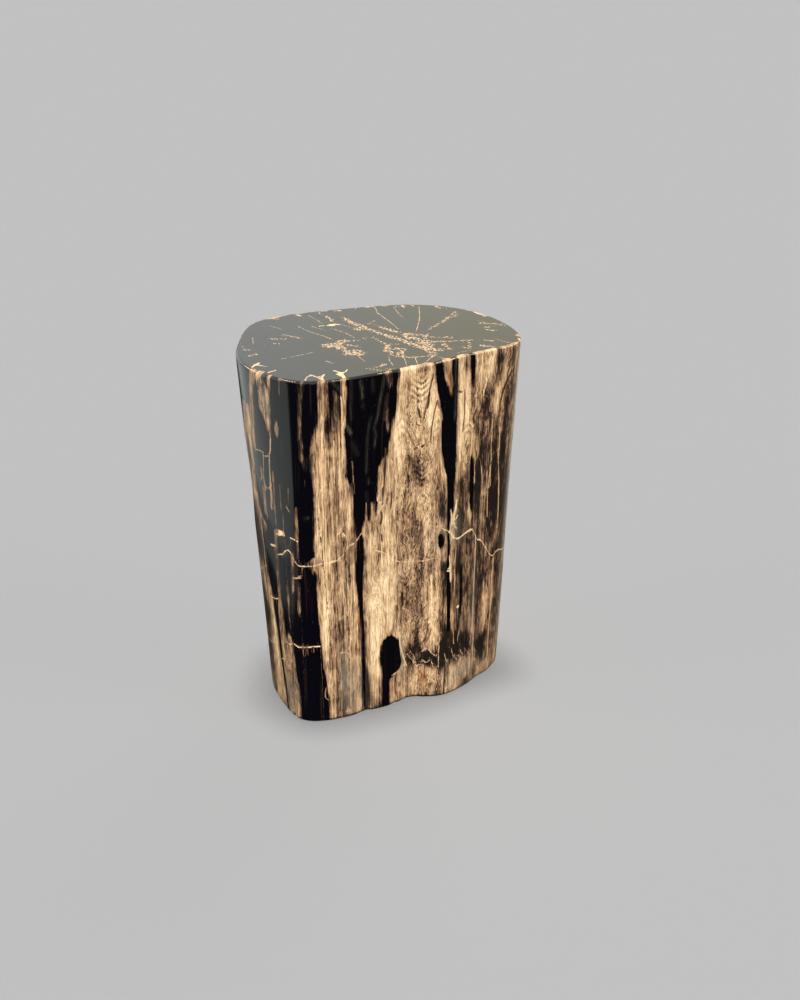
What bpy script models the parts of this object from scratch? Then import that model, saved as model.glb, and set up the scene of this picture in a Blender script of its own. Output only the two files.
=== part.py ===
# A stump of petrified wood: one solid stone, sawn flat at both ends, then ground and polished all round.
# Metres, +Z up. The stump stands on its sawn base, with the middle of its bounding box on the Z axis.
# Angles run anticlockwise seen from above: 0 is +X, and 270 is -Y, the broad flat side.

import math

import bmesh
import bpy
from mathutils import Vector, noise

HEIGHT = 0.420

# The sawn top's outline, as (angle in degrees, radius) about the stump's growth axis.
OUTLINE = [
    (3, 0.1628), (24, 0.1618), (40, 0.1590), (56, 0.1540), (72, 0.1444), (90, 0.1335),
    (108, 0.1290), (126, 0.1362), (142, 0.1510), (153, 0.1592), (166, 0.1578), (180, 0.1558),
    (198, 0.1628), (214, 0.1638), (229, 0.1594), (239, 0.1533), (250, 0.1345), (263, 0.1130),
    (276, 0.1010), (290, 0.0955), (304, 0.0950), (320, 0.0990), (336, 0.1108), (348, 0.1330),
    (356, 0.1537),
]

# How far the wall leans in between the top and the base, as (angle in degrees, distance).
LEAN = [
    (0, 0.021), (60, 0.021), (120, 0.022), (166, 0.029), (190, 0.031), (215, 0.025), (232, 0.008),
    (242, 0.009), (256, 0.012), (275, 0.010), (300, 0.014), (320, -0.001), (336, 0.001), (348, 0.013),
]

# Shallow hollows and swells left by the grinding: (angle, height, width, height span, depth).
# A negative depth is a swell.
HOLLOWS = [
    (192, 0.270, 0.070, 0.120, 0.0022),
    (222, 0.120, 0.040, 0.160, -0.0012),
    (256, 0.310, 0.036, 0.140, 0.0016),
    (284, 0.180, 0.050, 0.180, -0.0014),
    (322, 0.300, 0.034, 0.150, 0.0016),
    (20, 0.200, 0.080, 0.160, 0.0020),
    (68, 0.130, 0.060, 0.110, -0.0026),
    (98, 0.250, 0.050, 0.190, 0.0048),
    (128, 0.330, 0.040, 0.090, -0.0022),
    (148, 0.150, 0.050, 0.130, 0.0030),
]

# The polished arris round the top, and the coarser one round the base.
TOP_ARRIS = 0.0030
BASE_ARRIS = 0.0045
# Where the base arris is worn wider: (angle, length along the edge, extra radius).
BASE_WEAR = [
    (2, 0.120, 0.011),
    (200, 0.110, 0.004),
    (112, 0.090, 0.008),
]
# Chips knocked out of the two edges: (angle, length along the edge, extra radius).
TOP_CHIPS = [(219, 0.022, 0.0030), (131, 0.020, 0.0030)]
BASE_CHIPS = [(296, 0.040, 0.0030), (262, 0.030, 0.0020), (75, 0.036, 0.0070)]

# The slow unevenness of a hand-ground wall.
WAVE_DEPTH = 0.0011
WAVE_GIRTH = 0.065
WAVE_HEIGHT = 0.170

SIDES = 120
WALL_RINGS = 15
ARRIS_RINGS = 4

STONE_COLOUR = (0.026, 0.022, 0.021, 1.0)
STONE_ROUGHNESS = 0.22


def smooth_loop(points, angle):
    """Value at an angle on the smooth closed curve through (angle, value) points."""
    count = len(points)
    angle %= 360.0
    after = next((i for i, point in enumerate(points) if point[0] > angle), count)

    def point(i):
        turns, place = divmod(i, count)
        return points[place][0] + 360.0 * turns, points[place][1]

    (a0, v0), (a1, v1), (a2, v2), (a3, v3) = [point(after + i) for i in (-2, -1, 0, 1)]
    span = a2 - a1
    u = (angle - a1) / span
    slope_1 = (v2 - v0) / (a2 - a0) * span
    slope_2 = (v3 - v1) / (a3 - a1) * span
    return (
        (2 * u**3 - 3 * u**2 + 1) * v1
        + (u**3 - 2 * u**2 + u) * slope_1
        + (3 * u**2 - 2 * u**3) * v2
        + (u**3 - u**2) * slope_2
    )


def bump(distance, width):
    """A rounded bump of height 1, which has died away at half its width."""
    u = min(1.0, abs(distance) / (width / 2))
    return (1 - u * u) ** 2


def along_edge(angle, other):
    """Distance round the outline between two angles, near enough for a short stretch."""
    turn = (angle - other + 180.0) % 360.0 - 180.0
    return math.radians(turn) * smooth_loop(OUTLINE, other)


def arris(angle, radius, *widenings):
    """Radius of an edge's rounding at an angle, with its chips and worn stretches."""
    for stretches in widenings:
        for at, length, extra in stretches:
            radius += extra * bump(along_edge(angle, at), length)
    return radius


def wall_radius(angle, height):
    """Distance of the wall from the growth axis."""
    radius = smooth_loop(OUTLINE, angle)
    radius -= smooth_loop(LEAN, angle) * (1 - height / HEIGHT)
    for at, level, width, span, depth in HOLLOWS:
        radius -= depth * bump(along_edge(angle, at), width) * bump(height - level, span)
    turn = math.radians(angle)
    place = Vector((
        math.cos(turn) * radius / WAVE_GIRTH,
        math.sin(turn) * radius / WAVE_GIRTH,
        height / WAVE_HEIGHT,
    ))
    return radius + WAVE_DEPTH * noise.noise(place)


def column(angle):
    """Points up the stump at one angle, from the base's edge to the top's."""
    low = arris(angle, BASE_ARRIS, BASE_WEAR, BASE_CHIPS)
    high = arris(angle, TOP_ARRIS, TOP_CHIPS)
    profile = []
    for step in range(ARRIS_RINGS):
        turn = math.pi / 2 * step / ARRIS_RINGS
        profile.append((low * (1 - math.cos(turn)), low * (1 - math.sin(turn))))
    for step in range(WALL_RINGS + 1):
        profile.append((low + (HEIGHT - low - high) * step / WALL_RINGS, 0.0))
    for step in range(1, ARRIS_RINGS + 1):
        turn = math.pi / 2 * step / ARRIS_RINGS
        profile.append((HEIGHT - high * (1 - math.sin(turn)), high * (1 - math.cos(turn))))
    turn = math.radians(angle)
    points = []
    for height, inset in profile:
        radius = wall_radius(angle, height) - inset
        points.append(Vector((math.cos(turn) * radius, math.sin(turn) * radius, height)))
    return points


def make_stump():
    columns = [column(360.0 * side / SIDES) for side in range(SIDES)]
    shape = bmesh.new()
    ring = bmesh.ops.create_circle(shape, cap_ends=True, segments=SIDES, radius=1.0)["verts"]
    base = shape.faces[:]
    edges = shape.edges[:]
    for vertex, points in zip(ring, columns):
        vertex.co = points[0]
    bmesh.ops.reverse_faces(shape, faces=base)
    for level in range(1, len(columns[0])):
        made = bmesh.ops.extrude_edge_only(shape, edges=edges)["geom"]
        edges = [part for part in made if isinstance(part, bmesh.types.BMEdge)]
        edges = [edge for edge in edges if len(edge.link_faces) == 1]
        grown = [part for part in made if isinstance(part, bmesh.types.BMVert)]
        for vertex, points in zip(grown, columns):
            vertex.co = points[level]
    bmesh.ops.contextual_create(shape, geom=edges)
    bmesh.ops.recalc_face_normals(shape, faces=shape.faces[:])
    return shape


def stand_on_origin(shape):
    """Moves the stump so that the middle of its bounding box is on the Z axis."""
    across = [vertex.co.x for vertex in shape.verts]
    deep = [vertex.co.y for vertex in shape.verts]
    middle = Vector(((min(across) + max(across)) / 2, (min(deep) + max(deep)) / 2, 0.0))
    bmesh.ops.translate(shape, verts=shape.verts[:], vec=-middle)


def polished_stone():
    material = bpy.data.materials.new("petrified_wood")
    material.use_nodes = True
    shader = material.node_tree.nodes["Principled BSDF"]
    shader.inputs["Base Color"].default_value = STONE_COLOUR
    shader.inputs["Roughness"].default_value = STONE_ROUGHNESS
    shader.inputs["Metallic"].default_value = 0.0
    return material


def clear_scene():
    for thing in list(bpy.data.objects):
        bpy.data.objects.remove(thing)


def build():
    clear_scene()
    shape = make_stump()
    stand_on_origin(shape)
    mesh = bpy.data.meshes.new("stump")
    shape.to_mesh(mesh)
    shape.free()
    mesh.shade_smooth()
    mesh.set_sharp_from_angle(angle=math.radians(40))
    mesh.materials.append(polished_stone())
    stump = bpy.data.objects.new("stump", mesh)
    bpy.context.scene.collection.objects.link(stump)


build()
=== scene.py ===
import math

import bmesh
import bpy
import numpy as np
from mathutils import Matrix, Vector, noise


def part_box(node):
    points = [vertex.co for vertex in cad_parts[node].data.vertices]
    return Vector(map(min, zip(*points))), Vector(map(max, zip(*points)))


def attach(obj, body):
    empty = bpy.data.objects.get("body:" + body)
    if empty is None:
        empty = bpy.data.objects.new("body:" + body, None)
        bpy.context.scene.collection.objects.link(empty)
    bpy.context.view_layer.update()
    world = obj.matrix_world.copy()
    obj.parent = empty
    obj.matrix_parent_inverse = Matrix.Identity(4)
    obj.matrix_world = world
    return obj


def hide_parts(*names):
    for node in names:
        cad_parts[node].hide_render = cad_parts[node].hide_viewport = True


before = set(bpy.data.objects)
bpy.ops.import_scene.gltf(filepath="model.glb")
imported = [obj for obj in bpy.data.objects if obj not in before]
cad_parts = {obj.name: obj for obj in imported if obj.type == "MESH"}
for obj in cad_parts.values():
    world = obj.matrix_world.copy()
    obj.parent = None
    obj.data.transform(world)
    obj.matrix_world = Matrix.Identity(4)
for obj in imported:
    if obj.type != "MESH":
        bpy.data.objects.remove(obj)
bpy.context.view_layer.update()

# A polished stump of petrified wood. Angles run anticlockwise seen from above, 0 is +X and 270 is -Y.
# Form is in metres about the growth axis. The marks on it are in mm: girth runs anticlockwise round the
# wall at half height, from about the middle of the back, and up is the height above the sawn base.


def colour(code):   # "#rrggbb" to the linear values that Blender works in
    parts = [int(code[i:i + 2], 16) / 255 for i in (1, 3, 5)]
    return tuple(c / 12.92 if c <= 0.04045 else ((c + 0.055) / 1.055) ** 2.4 for c in parts)


# Adds a node with its settings and links, and gives its first output or the one named. Inputs go by name,
# or in order among those that the settings leave open.
def put(tree, kind, inputs=(), output=None, **settings):
    node = tree.nodes.new("ShaderNode" + kind)
    for name, value in settings.items():
        setattr(node, name, value)
    sockets = [socket for socket in node.inputs if socket.enabled]
    for key, value in inputs.items() if isinstance(inputs, dict) else enumerate(inputs):
        socket = node.inputs[key] if isinstance(key, str) else sockets[key]
        if isinstance(value, bpy.types.NodeSocket):
            tree.links.new(value, socket)
        else:
            socket.default_value = (*colour(value), 1) if isinstance(value, str) else value
    return node.outputs[output] if output else next((s for s in node.outputs if s.enabled), None)


stump = {
    "height": 0.420,
    # the sawn top's outline: angle, radius
    "outline": [
        (3, 0.1628), (24, 0.1618), (40, 0.1590), (56, 0.1540), (72, 0.1444), (90, 0.1335), (108, 0.1290),
        (126, 0.1362), (142, 0.1510), (153, 0.1592), (166, 0.1578), (180, 0.1558), (198, 0.1628),
        (214, 0.1638), (229, 0.1594), (239, 0.1533), (250, 0.1345), (263, 0.1130), (276, 0.1010),
        (290, 0.0955), (304, 0.0950), (320, 0.0990), (336, 0.1108), (348, 0.1330), (356, 0.1537),
    ],
    # how far the wall leans in between top and base: angle, distance
    "lean": [
        (0, 0.021), (60, 0.021), (120, 0.022), (166, 0.029), (190, 0.031), (215, 0.025), (232, 0.008),
        (242, 0.009), (256, 0.012), (275, 0.010), (300, 0.014), (320, -0.001), (336, 0.001), (348, 0.013),
    ],
    # ground hollows, and swells where the depth is negative: angle, height, width, span, depth
    "hollows": [
        (192, 0.270, 0.070, 0.120, 0.0022), (222, 0.120, 0.040, 0.160, -0.0012),
        (256, 0.310, 0.036, 0.140, 0.0016), (284, 0.180, 0.050, 0.180, -0.0014),
        (322, 0.300, 0.034, 0.150, 0.0016), (20, 0.200, 0.080, 0.160, 0.0020),
        (68, 0.130, 0.060, 0.110, -0.0026), (98, 0.250, 0.050, 0.190, 0.0048),
        (128, 0.330, 0.040, 0.090, -0.0022), (148, 0.150, 0.050, 0.130, 0.0030),
    ],
    "waveDepth": 0.0011, "waveGirth": 0.065, "waveHeight": 0.170,
    "topArris": 0.0030, "baseArris": 0.0045,
    # wear and chips on the two arrises: angle, length along the edge, extra radius
    "baseWear": [(2, 0.120, 0.011), (200, 0.110, 0.004), (112, 0.090, 0.008)],
    "topChips": [(219, 0.022, 0.0030), (131, 0.020, 0.0030)],
    "baseChips": [(296, 0.040, 0.0030), (262, 0.030, 0.0020), (75, 0.036, 0.0070)],
    # small random nicks along each edge: how many, longest, deepest
    "topNicks": (16, 0.011, 0.0016), "baseNicks": (34, 0.016, 0.0030),
    "nickSeed": 11,
    "pith": (0.040, -0.010),              # where the radial cracks of the top meet
    "frontGirth": 443,                    # the girth reading at the front, 270 degrees
    "columns": 480,                       # round the girth
    "closing": 1.12,                      # above 1, the top's rings are closer together near the rim
    "wallRings": 130, "baseArrisRings": 6, "topArrisRings": 5, "topRings": 54,
    "baseRings": [0.30, 0.60, 0.85],      # rings of the sawn base, as shares of its radius
}


def smoothLoop(points, angles):   # the smooth closed curve through (angle, value) points
    at = np.array([p[0] for p in points], float)
    value = np.tile(np.array([p[1] for p in points], float), 3)
    at = np.concatenate([at - 360, at, at + 360])
    angles = np.mod(angles, 360.0)
    after = np.searchsorted(at, angles, side="right")
    a0, a1, a2, a3 = (at[after + i] for i in (-2, -1, 0, 1))
    v0, v1, v2, v3 = (value[after + i] for i in (-2, -1, 0, 1))
    span = a2 - a1
    u = (angles - a1) / span
    slope1 = (v2 - v0) / (a2 - a0) * span
    slope2 = (v3 - v1) / (a3 - a1) * span
    return ((2 * u**3 - 3 * u**2 + 1) * v1 + (u**3 - 2 * u**2 + u) * slope1
            + (3 * u**2 - 2 * u**3) * v2 + (u**3 - u**2) * slope2)


def bump(distance, width):   # a rounded bump of height 1 that dies away at half its width
    u = np.minimum(1.0, np.abs(distance) / (width / 2))
    return (1 - u * u) ** 2


def alongEdge(angles, other):   # distance round the outline between two angles
    turn = np.mod(angles - other + 180.0, 360.0) - 180.0
    return np.radians(turn) * smoothLoop(stump["outline"], np.array(float(other)))


def arris(angles, radius, *widenings):
    radius = np.full_like(angles, radius)
    for stretches in widenings:
        for at, length, extra in stretches:
            radius += extra * bump(alongEdge(angles, at), length)
    return radius


def wallRadius(angles, heights):   # distance of the wall from the growth axis
    radius = smoothLoop(stump["outline"], angles)
    radius = radius - smoothLoop(stump["lean"], angles) * (1 - heights / stump["height"])
    for at, level, width, span, depth in stump["hollows"]:
        radius = radius - depth * bump(alongEdge(angles, at), width) * bump(heights - level, span)
    turn = np.radians(angles)
    places = np.stack([np.cos(turn) * radius / stump["waveGirth"],
                       np.sin(turn) * radius / stump["waveGirth"],
                       heights / stump["waveHeight"]], -1)
    waves = np.array([noise.noise(Vector(p)) for p in places.reshape(-1, 3)])
    return radius + stump["waveDepth"] * waves.reshape(radius.shape)


def nicks(draw, count, longest, deepest):   # small random chips of an edge
    return [(draw.uniform(0, 360), draw.uniform(0.35, 1) * longest, draw.uniform(0.2, 1) * deepest)
            for _ in range(count)]


def shapeStump():   # every point of the stump, as rings from the base's middle up, over and in to the pith
    draw = np.random.default_rng(stump["nickSeed"])
    topNicks = nicks(draw, *stump["topNicks"])
    baseNicks = nicks(draw, *stump["baseNicks"])
    height = stump["height"]
    angles = 90.0 + 360.0 * np.arange(stump["columns"]) / stump["columns"]
    low = arris(angles, stump["baseArris"], stump["baseWear"], stump["baseChips"], baseNicks)
    high = arris(angles, stump["topArris"], stump["topChips"], topNicks)
    levels, insets = [], []
    for turn in np.linspace(0, math.pi / 2, stump["baseArrisRings"], endpoint=False):
        levels.append(low * (1 - math.cos(turn)))
        insets.append(low * (1 - math.sin(turn)))
    for up in np.linspace(0, 1, stump["wallRings"]):
        levels.append(low + (height - low - high) * up)
        insets.append(np.zeros_like(low))
    for turn in np.linspace(0, math.pi / 2, stump["topArrisRings"] + 1)[1:]:
        levels.append(height - high * (1 - math.sin(turn)))
        insets.append(high * (1 - math.cos(turn)))
    levels, insets = np.array(levels), np.array(insets)
    radius = wallRadius(np.broadcast_to(angles, levels.shape), levels) - insets
    turn = np.radians(angles)
    wall = np.stack([np.cos(turn) * radius, np.sin(turn) * radius, levels], -1)
    base = np.stack([wall[0] * (share, share, 1) for share in stump["baseRings"]])
    pith = np.array([*stump["pith"], height])
    inward = 1 - np.linspace(0, 1, stump["topRings"] + 1)[1:-1] ** stump["closing"]
    top = np.stack([pith + (wall[-1] - pith) * share for share in inward])
    return angles, base, wall, top, pith


angles, basePlaces, wallPlaces, topPlaces, pithPlace = shapeStump()
print("stump shaped,", len(basePlaces) + len(wallPlaces) + len(topPlaces), "rings of", len(angles))


# Where each mark is. A streak's rows give (up, left edge, right edge) along the girth.
marks = {
    # the photo shows the girth between these readings. Elsewhere streaks stray and cracks jolt by so many
    # mm, in waves of so many mm across and along
    "seen": (235, 640), "seenFade": 20, "stray": 9, "jolt": 7, "strayCell": (16, 38),
    "edgeDepth": 18,             # mm inside and outside a streak's edge that are told apart
    "endSlope": 0.4,             # how fast a streak's edge falls away past its ends
    "openEnds": (10, 400),       # below and above these, streaks that reach 0 or 420 run on
    # the brown's limit, and the painted shade that darkens the foot and blackens its edge: mm up, amount
    "mostBrown": 0.72, "footShade": (70, 0.12), "footEdgeShade": (3, 0.9),
    "curlEverywhere": 0.15,
    # how the streaks turn over the top's rim: deepest start, mm lost per mm inwards, fading of stains in mm
    "overRim": (5.5, 1.9, 8),
    "woodPanels": [
        # left cream panel, and the thin finger left of it
        [(420, 375.5, 408.5), (399, 374.5, 408.5), (379, 373.5, 408), (369, 372.5, 407.5), (357, 369, 405),
         (344, 366.5, 406.5), (334, 364.5, 407.5), (317, 365.5, 407), (304, 366.5, 406), (294, 367, 411),
         (279, 367.5, 412), (254, 368, 413.5), (240, 367.5, 417.5), (225, 366, 419), (212, 367, 420),
         (207, 360, 423), (202, 354.5, 423), (198, 363, 421), (190, 369, 417.5), (175, 369, 416.5),
         (150, 369.5, 419), (110, 371.5, 421), (80, 374.5, 422.5), (60, 375.5, 423.5), (30, 378.5, 425),
         (10, 380.5, 425), (0, 380.5, 425)],
        [(420, 357.5, 361.5), (400, 356.4, 359.8), (385, 355.5, 358.1), (370, 354.5, 356.9),
         (358, 353.5, 357.5), (345, 354, 359.5), (332, 354, 359.5), (321, 357.5, 361)],
        [(306, 358.1, 359.6), (298, 358.6, 361.2), (290, 360.2, 361.7)],
        # the central panel's left part, with three fingers
        [(318, 448.5, 450.5), (310, 443.5, 451), (295, 442, 451), (262, 441.5, 452), (250, 439, 460),
         (238, 429, 460), (233, 422, 459.5), (225, 425, 459.5), (151, 423, 459.5), (61, 424, 459.5),
         (0, 425, 459)],
        [(269, 428.3, 430.3), (258, 427.5, 431), (248, 426, 432.5), (236, 422, 440.5)],
        [(268, 434.6, 437), (258, 434, 438), (248, 432.5, 439.5), (236, 429, 441.5)],
        # the broad central panel
        [(420, 467.5, 510.5), (400, 465.5, 514.5), (385, 465, 517.5), (372, 463.5, 520), (360, 460.5, 522),
         (345, 458, 523), (330, 455, 524), (310, 452.5, 525.5), (290, 451.5, 528), (282, 451, 533),
         (251, 441.5, 533.5), (231, 425, 535), (0, 425, 536.5)],
        # brown bits in the black between the panels
        [(396, 453.6, 456.1), (380, 451.5, 456.5), (365, 451, 457), (355, 453, 457.5), (348, 454.5, 456)],
        [(420, 451, 459.5), (410, 452.5, 460), (402, 455.1, 458.2)],
        [(420, 522.5, 537.5), (408, 523.5, 536), (400, 525.5, 538), (392, 529.5, 539), (380, 531, 537.5),
         (371, 534.1, 536.2)],
        # right of the black streak: a cream panel, then brown wood round to the side
        [(420, 546, 626), (345, 544.5, 623), (300, 544.5, 623), (286, 543, 623), (241, 539.5, 623),
         (226, 535, 623), (152, 533, 631), (0, 529, 640.5)],
        # left corner and side
        [(420, 290.5, 299), (396, 285, 294.5), (376, 282.5, 292), (356, 280.5, 290), (336, 281.5, 289.5),
         (322, 283.5, 288)],
        [(420, 299, 310.5), (414, 298, 312), (402, 300.5, 319), (385, 301, 319.5), (376, 301.5, 319),
         (366, 307.5, 319), (357, 312.5, 318.5), (349, 314.5, 318)],
        [(422, 317, 321), (410, 317.5, 321), (400, 318.8, 320.3)],
        [(422, 330.5, 335.5), (410, 331, 335), (401, 332.2, 334.2)],
        [(368, 326.3, 328.3), (361, 324.5, 329), (352, 326.1, 327.6)],
        [(373, 258, 280.5), (346, 252, 281.5), (331, 250, 280), (274, 250.5, 281), (252, 250.5, 284.5),
         (242, 250.5, 289), (234, 250.5, 298), (217, 248.5, 292.5), (172, 247, 290), (152, 247, 295),
         (93, 247.5, 301), (63, 246, 305.5), (34, 246, 312), (0, 246.5, 316)],
        [(237, 312.5, 330), (233, 311.5, 331), (228, 312, 318), (207, 311.5, 317.5), (178, 312.5, 317.5),
         (154, 312.5, 319.5), (134, 310, 322.5), (117, 310, 324), (107, 310, 335), (97, 310, 337),
         (85, 310.5, 337.5), (65, 311.5, 339.5), (46, 314, 343), (26, 317, 345), (0, 319, 346)],
        [(171, 330, 332.4), (154, 330.1, 333.3), (129, 330.6, 334), (110, 331.3, 334)],
        [(214, 338.6, 341.8), (197, 339.5, 343), (181, 340.2, 342.9), (167, 339.6, 341.8)],
        [(271, 346.7, 348.3), (236, 346.4, 349.6), (226, 347, 349.3), (202, 346.9, 349.6),
         (172, 347, 350.5), (147, 346, 351.5), (139, 347.4, 349.9)],
        # the back
        [(420, 629, 656.5), (360, 623, 668), (300, 619, 672), (200, 617, 682), (90, 619, 688),
         (0, 621, 690)],
        [(420, 712, 738), (390, 708, 744), (300, 704, 757), (240, 700, 766), (120, 702, 772), (0, 706, 778)],
        [(420, 771, 775), (350, 773, 778), (290, 775, 777)],
        [(390, 801, 803), (340, 797, 806), (250, 795, 808), (180, 798, 812), (90, 800, 822), (0, 798, 826)],
        [(420, 840, 868), (350, 836, 874), (300, 838, 880), (230, 845, 878), (190, 852, 870),
         (165, 858, 862)],
        [(260, 33, 36), (210, 30, 42), (120, 26, 60), (60, 22, 74), (0, 20, 78)],
        [(420, 52, 66), (370, 55, 64), (320, 58, 61)],
        [(420, 92, 128), (360, 98, 131), (300, 96, 136), (220, 101, 138), (120, 104, 133), (60, 112, 128),
         (32, 118, 122)],
        [(402, 172, 180), (380, 167, 193), (330, 172, 190), (280, 174, 184), (240, 178, 180)],
        [(300, 150, 152), (240, 147, 158), (160, 145, 166), (80, 150, 186), (0, 148, 196)],
        [(330, 214.5, 217.6), (280, 206, 227), (201, 204, 240), (101, 202, 249.5), (0, 206.5, 251)],
    ],
    "blackStreaks": [
        # gaps between the left panel's fingers
        [(424, 385.5, 392.5), (394, 387, 392), (379, 385.5, 390.5), (364, 384, 389.5), (351, 385.6, 388.1),
         (342, 387.1, 387.9)],
        [(424, 392, 401.5), (412, 392, 401.5), (404, 398.9, 401.4), (394, 399.3, 401.2),
         (381, 399.7, 400.8)],
        # black gap between the left and central panels, pinched where a crack crosses it
        [(232, 420.7, 421.6), (224, 418.5, 424.5), (210, 417.5, 426), (200, 417, 426.5), (190, 416, 425),
         (178, 415.5, 423), (164, 417.5, 422.5), (150, 419.2, 422.1), (130, 419.8, 422.7),
         (110, 420.2, 422.9), (90, 421, 423.3), (60, 422, 424.5), (30, 423, 425.1), (8, 423.6, 424.8)],
        # the broad black streak right of the central panel, and the thin one beside it at the top
        [(424, 511, 522), (409, 512.5, 522.5), (400, 515, 525.5), (390, 517, 530), (378, 519, 534.5),
         (366, 521, 544.5), (350, 523, 544), (330, 524.5, 544.5), (310, 525.5, 545), (298, 527, 544.5),
         (290, 529.5, 543.5), (281, 533.5, 542.5), (251, 532, 540), (240, 531, 536.5), (230, 530.5, 535),
         (217, 529.5, 533.5), (207, 530.2, 533.5), (198, 532, 535.5), (185, 532, 534.7), (173, 531, 535.5),
         (153, 530.5, 535), (144, 530.5, 536.5), (129, 532, 538), (114, 532.5, 537), (100, 532.8, 535.9),
         (87, 532, 536.5)],
        [(424, 539.5, 545.5), (400, 540, 544.5), (380, 539.5, 544.5), (366, 534, 544.5)],
        [(210, 520, 526), (204, 519.5, 527), (197, 521, 526), (192, 523, 524.8)],
        [(424, 561, 565), (405, 562.5, 566.5), (390, 564.5, 567.1), (382, 565.6, 566.5)],
        # slivers in the brown wood
        [(293, 565.1, 566.6), (281, 565, 568.5), (261, 565, 569), (241, 565.5, 569), (229, 567.1, 568.7)],
        [(159, 551.5, 553.8), (144, 551.6, 554.5), (124, 551.4, 554.7), (104, 550.1, 552.3),
         (83, 548.7, 550.3)],
        # the dark boot at the foot of the central panel
        [(94, 454.5, 459.5), (92, 451, 463.5), (88, 448, 468), (84, 445.5, 470.5), (76, 445, 470.5),
         (67, 444.5, 472), (59, 445.5, 475), (54, 446.5, 475.5), (50, 447.5, 474), (47, 448, 471),
         (43, 448, 467.5), (40, 448, 463.5), (37, 447.5, 458.5), (33, 447.5, 457), (22, 447, 457),
         (0, 446.5, 457)],
        # left side
        [(404, 294.5, 300.5), (393, 292.5, 300), (379, 291, 300.5), (373, 293, 305.5), (361, 291, 311.5),
         (346, 291, 313.5)],
        [(153, 296.5, 302), (133, 297.5, 307.5), (114, 300.5, 309.5), (94, 303.5, 310.5), (77, 306, 310.5),
         (69, 307.6, 309.8)],
        [(57, 307.8, 310.9), (41, 310, 314), (26, 313, 317), (0, 316, 320)],
        [(237, 285.9, 287.8), (222, 285.1, 288.5), (202, 285.4, 288.2), (187, 287, 287.9)],
        [(207, 292.5, 299.5), (187, 293.5, 299), (167, 294, 297.1), (152, 295.2, 296.3)],
        [(132, 322, 328), (117, 323, 328.5), (109, 324.5, 328)],
        # the back
        [(420, 637, 640.5), (330, 640.5, 646.5), (240, 642.6, 645.5)],
        [(300, 722, 726), (240, 720, 729), (150, 723, 727)],
        [(150, 742, 745), (90, 740, 750), (40, 744, 748)],
        [(420, 852, 856), (370, 851, 858), (320, 854, 856)],
        [(300, 112, 114), (240, 110, 117), (180, 113, 115)],
        [(121, 221.5, 225.5), (61, 217.5, 230.5), (0, 220, 228.5)],
    ],
    # thin lines: tone (0 cream, 0.5 tan, 1 almost black), half width, then (girth, up) points
    "lines": [
        # cream crack right of the central one
        (0.04, 0.8, [(534, 212), (538, 206), (543, 201), (549, 199.5), (556, 202), (564, 205), (569, 205)]),
        # on the left side's black
        (0.62, 0.8, [(317, 347), (315, 331), (312.5, 322), (312, 301), (311, 283), (310.5, 260)]),
        (0.60, 0.7, [(288.5, 324), (295.2, 325.5), (301.1, 325.9)]), (0.60, 0.6, [(303, 321), (312, 324)]),
        (0.68, 0.8, [(302, 326), (302, 316), (300, 301), (299.5, 285), (299, 263), (300, 244)]),
        (0.72, 0.8, [(295, 305), (295.5, 293), (292.5, 288)]),
        (0.72, 0.8, [(295.5, 281), (296, 263), (295, 250)]),
        (0.66, 0.6, [(300.5, 285), (305.5, 282), (311.5, 285)]),
        (0.80, 0.6, [(317.5, 306), (317, 286), (316, 270), (317.5, 242)]),
        (0.84, 0.5, [(327, 293), (327, 271), (329, 257), (329.5, 242)]),
        (0.86, 0.5, [(338.5, 293), (338, 276)]), (0.62, 0.8, [(335.6, 269.4), (338.1, 264.9)]),
        (0.58, 0.9, [(283.5, 234), (284, 202), (283.5, 167)]), (0.35, 1.2, [(303.5, 212), (311, 214)]),
        (0.50, 0.9, [(343.5, 184), (349.5, 186)]),
        (0.60, 0.5, [(376, 44), (374.6, 38.1), (375, 32.1), (377.6, 29)]),
        (0.78, 0.6, [(353, 199), (352, 191)]), (0.78, 0.6, [(364, 203), (365, 192)]),
        (0.80, 0.6, [(350.5, 99), (351.5, 87)]), (0.80, 0.6, [(355.5, 100), (356.5, 90)]),
        (0.82, 0.5, [(363.7, 99.6), (362.8, 93.7)]),
        # left panel: darker seams of the grain
        (0.78, 0.7, [(412.5, 321), (414, 299), (414.5, 284)]),
        (0.75, 0.7, [(394, 329), (395, 299), (394, 269)]), (0.90, 0.8, [(376.5, 308), (375.5, 296)]),
        (0.25, 0.8, [(379.5, 359), (378, 330), (377.5, 300)]),
        (0.25, 0.8, [(392.5, 349), (391.5, 324), (392, 299)]),
        (0.30, 0.8, [(402, 399), (402, 359), (401, 319)]),
        (0.72, 0.8, [(396.5, 261), (399, 239), (397.5, 231), (400.5, 225)]),
        (0.25, 0.9, [(395.3, 237.3), (398.4, 240.8), (401.5, 235)]),
        # central panel: curls and specks
        (0.86, 1.0, [(510, 407), (506, 394), (503.5, 380), (500.5, 368), (498.5, 357)]),
        (0.90, 1.3, [(505, 386), (503.5, 370)]), (0.86, 1.2, [(491.5, 370), (494, 360)]),
        (0.80, 0.8, [(516, 376), (512, 362), (509.5, 348), (507.5, 328)]),
        (0.74, 0.8, [(516.5, 374), (520.5, 364), (523, 352)]),
        (0.72, 0.7, [(479, 346), (483.5, 336), (489.5, 324)]),
        (0.70, 0.7, [(485.5, 345), (489.5, 336), (493.5, 328)]),
        (0.92, 1.4, [(497.5, 323.9), (498.9, 324.5)]), (0.88, 1.0, [(488.5, 322), (490.5, 323.4)]),
        (0.80, 0.8, [(490.6, 351.4), (493.1, 349.4)]),
        (0.97, 0.8, [(452.5, 330), (451.5, 308), (450.5, 290), (449.5, 277)]),
        (0.95, 0.9, [(448.5, 284), (449, 272), (448, 264)]),
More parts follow.
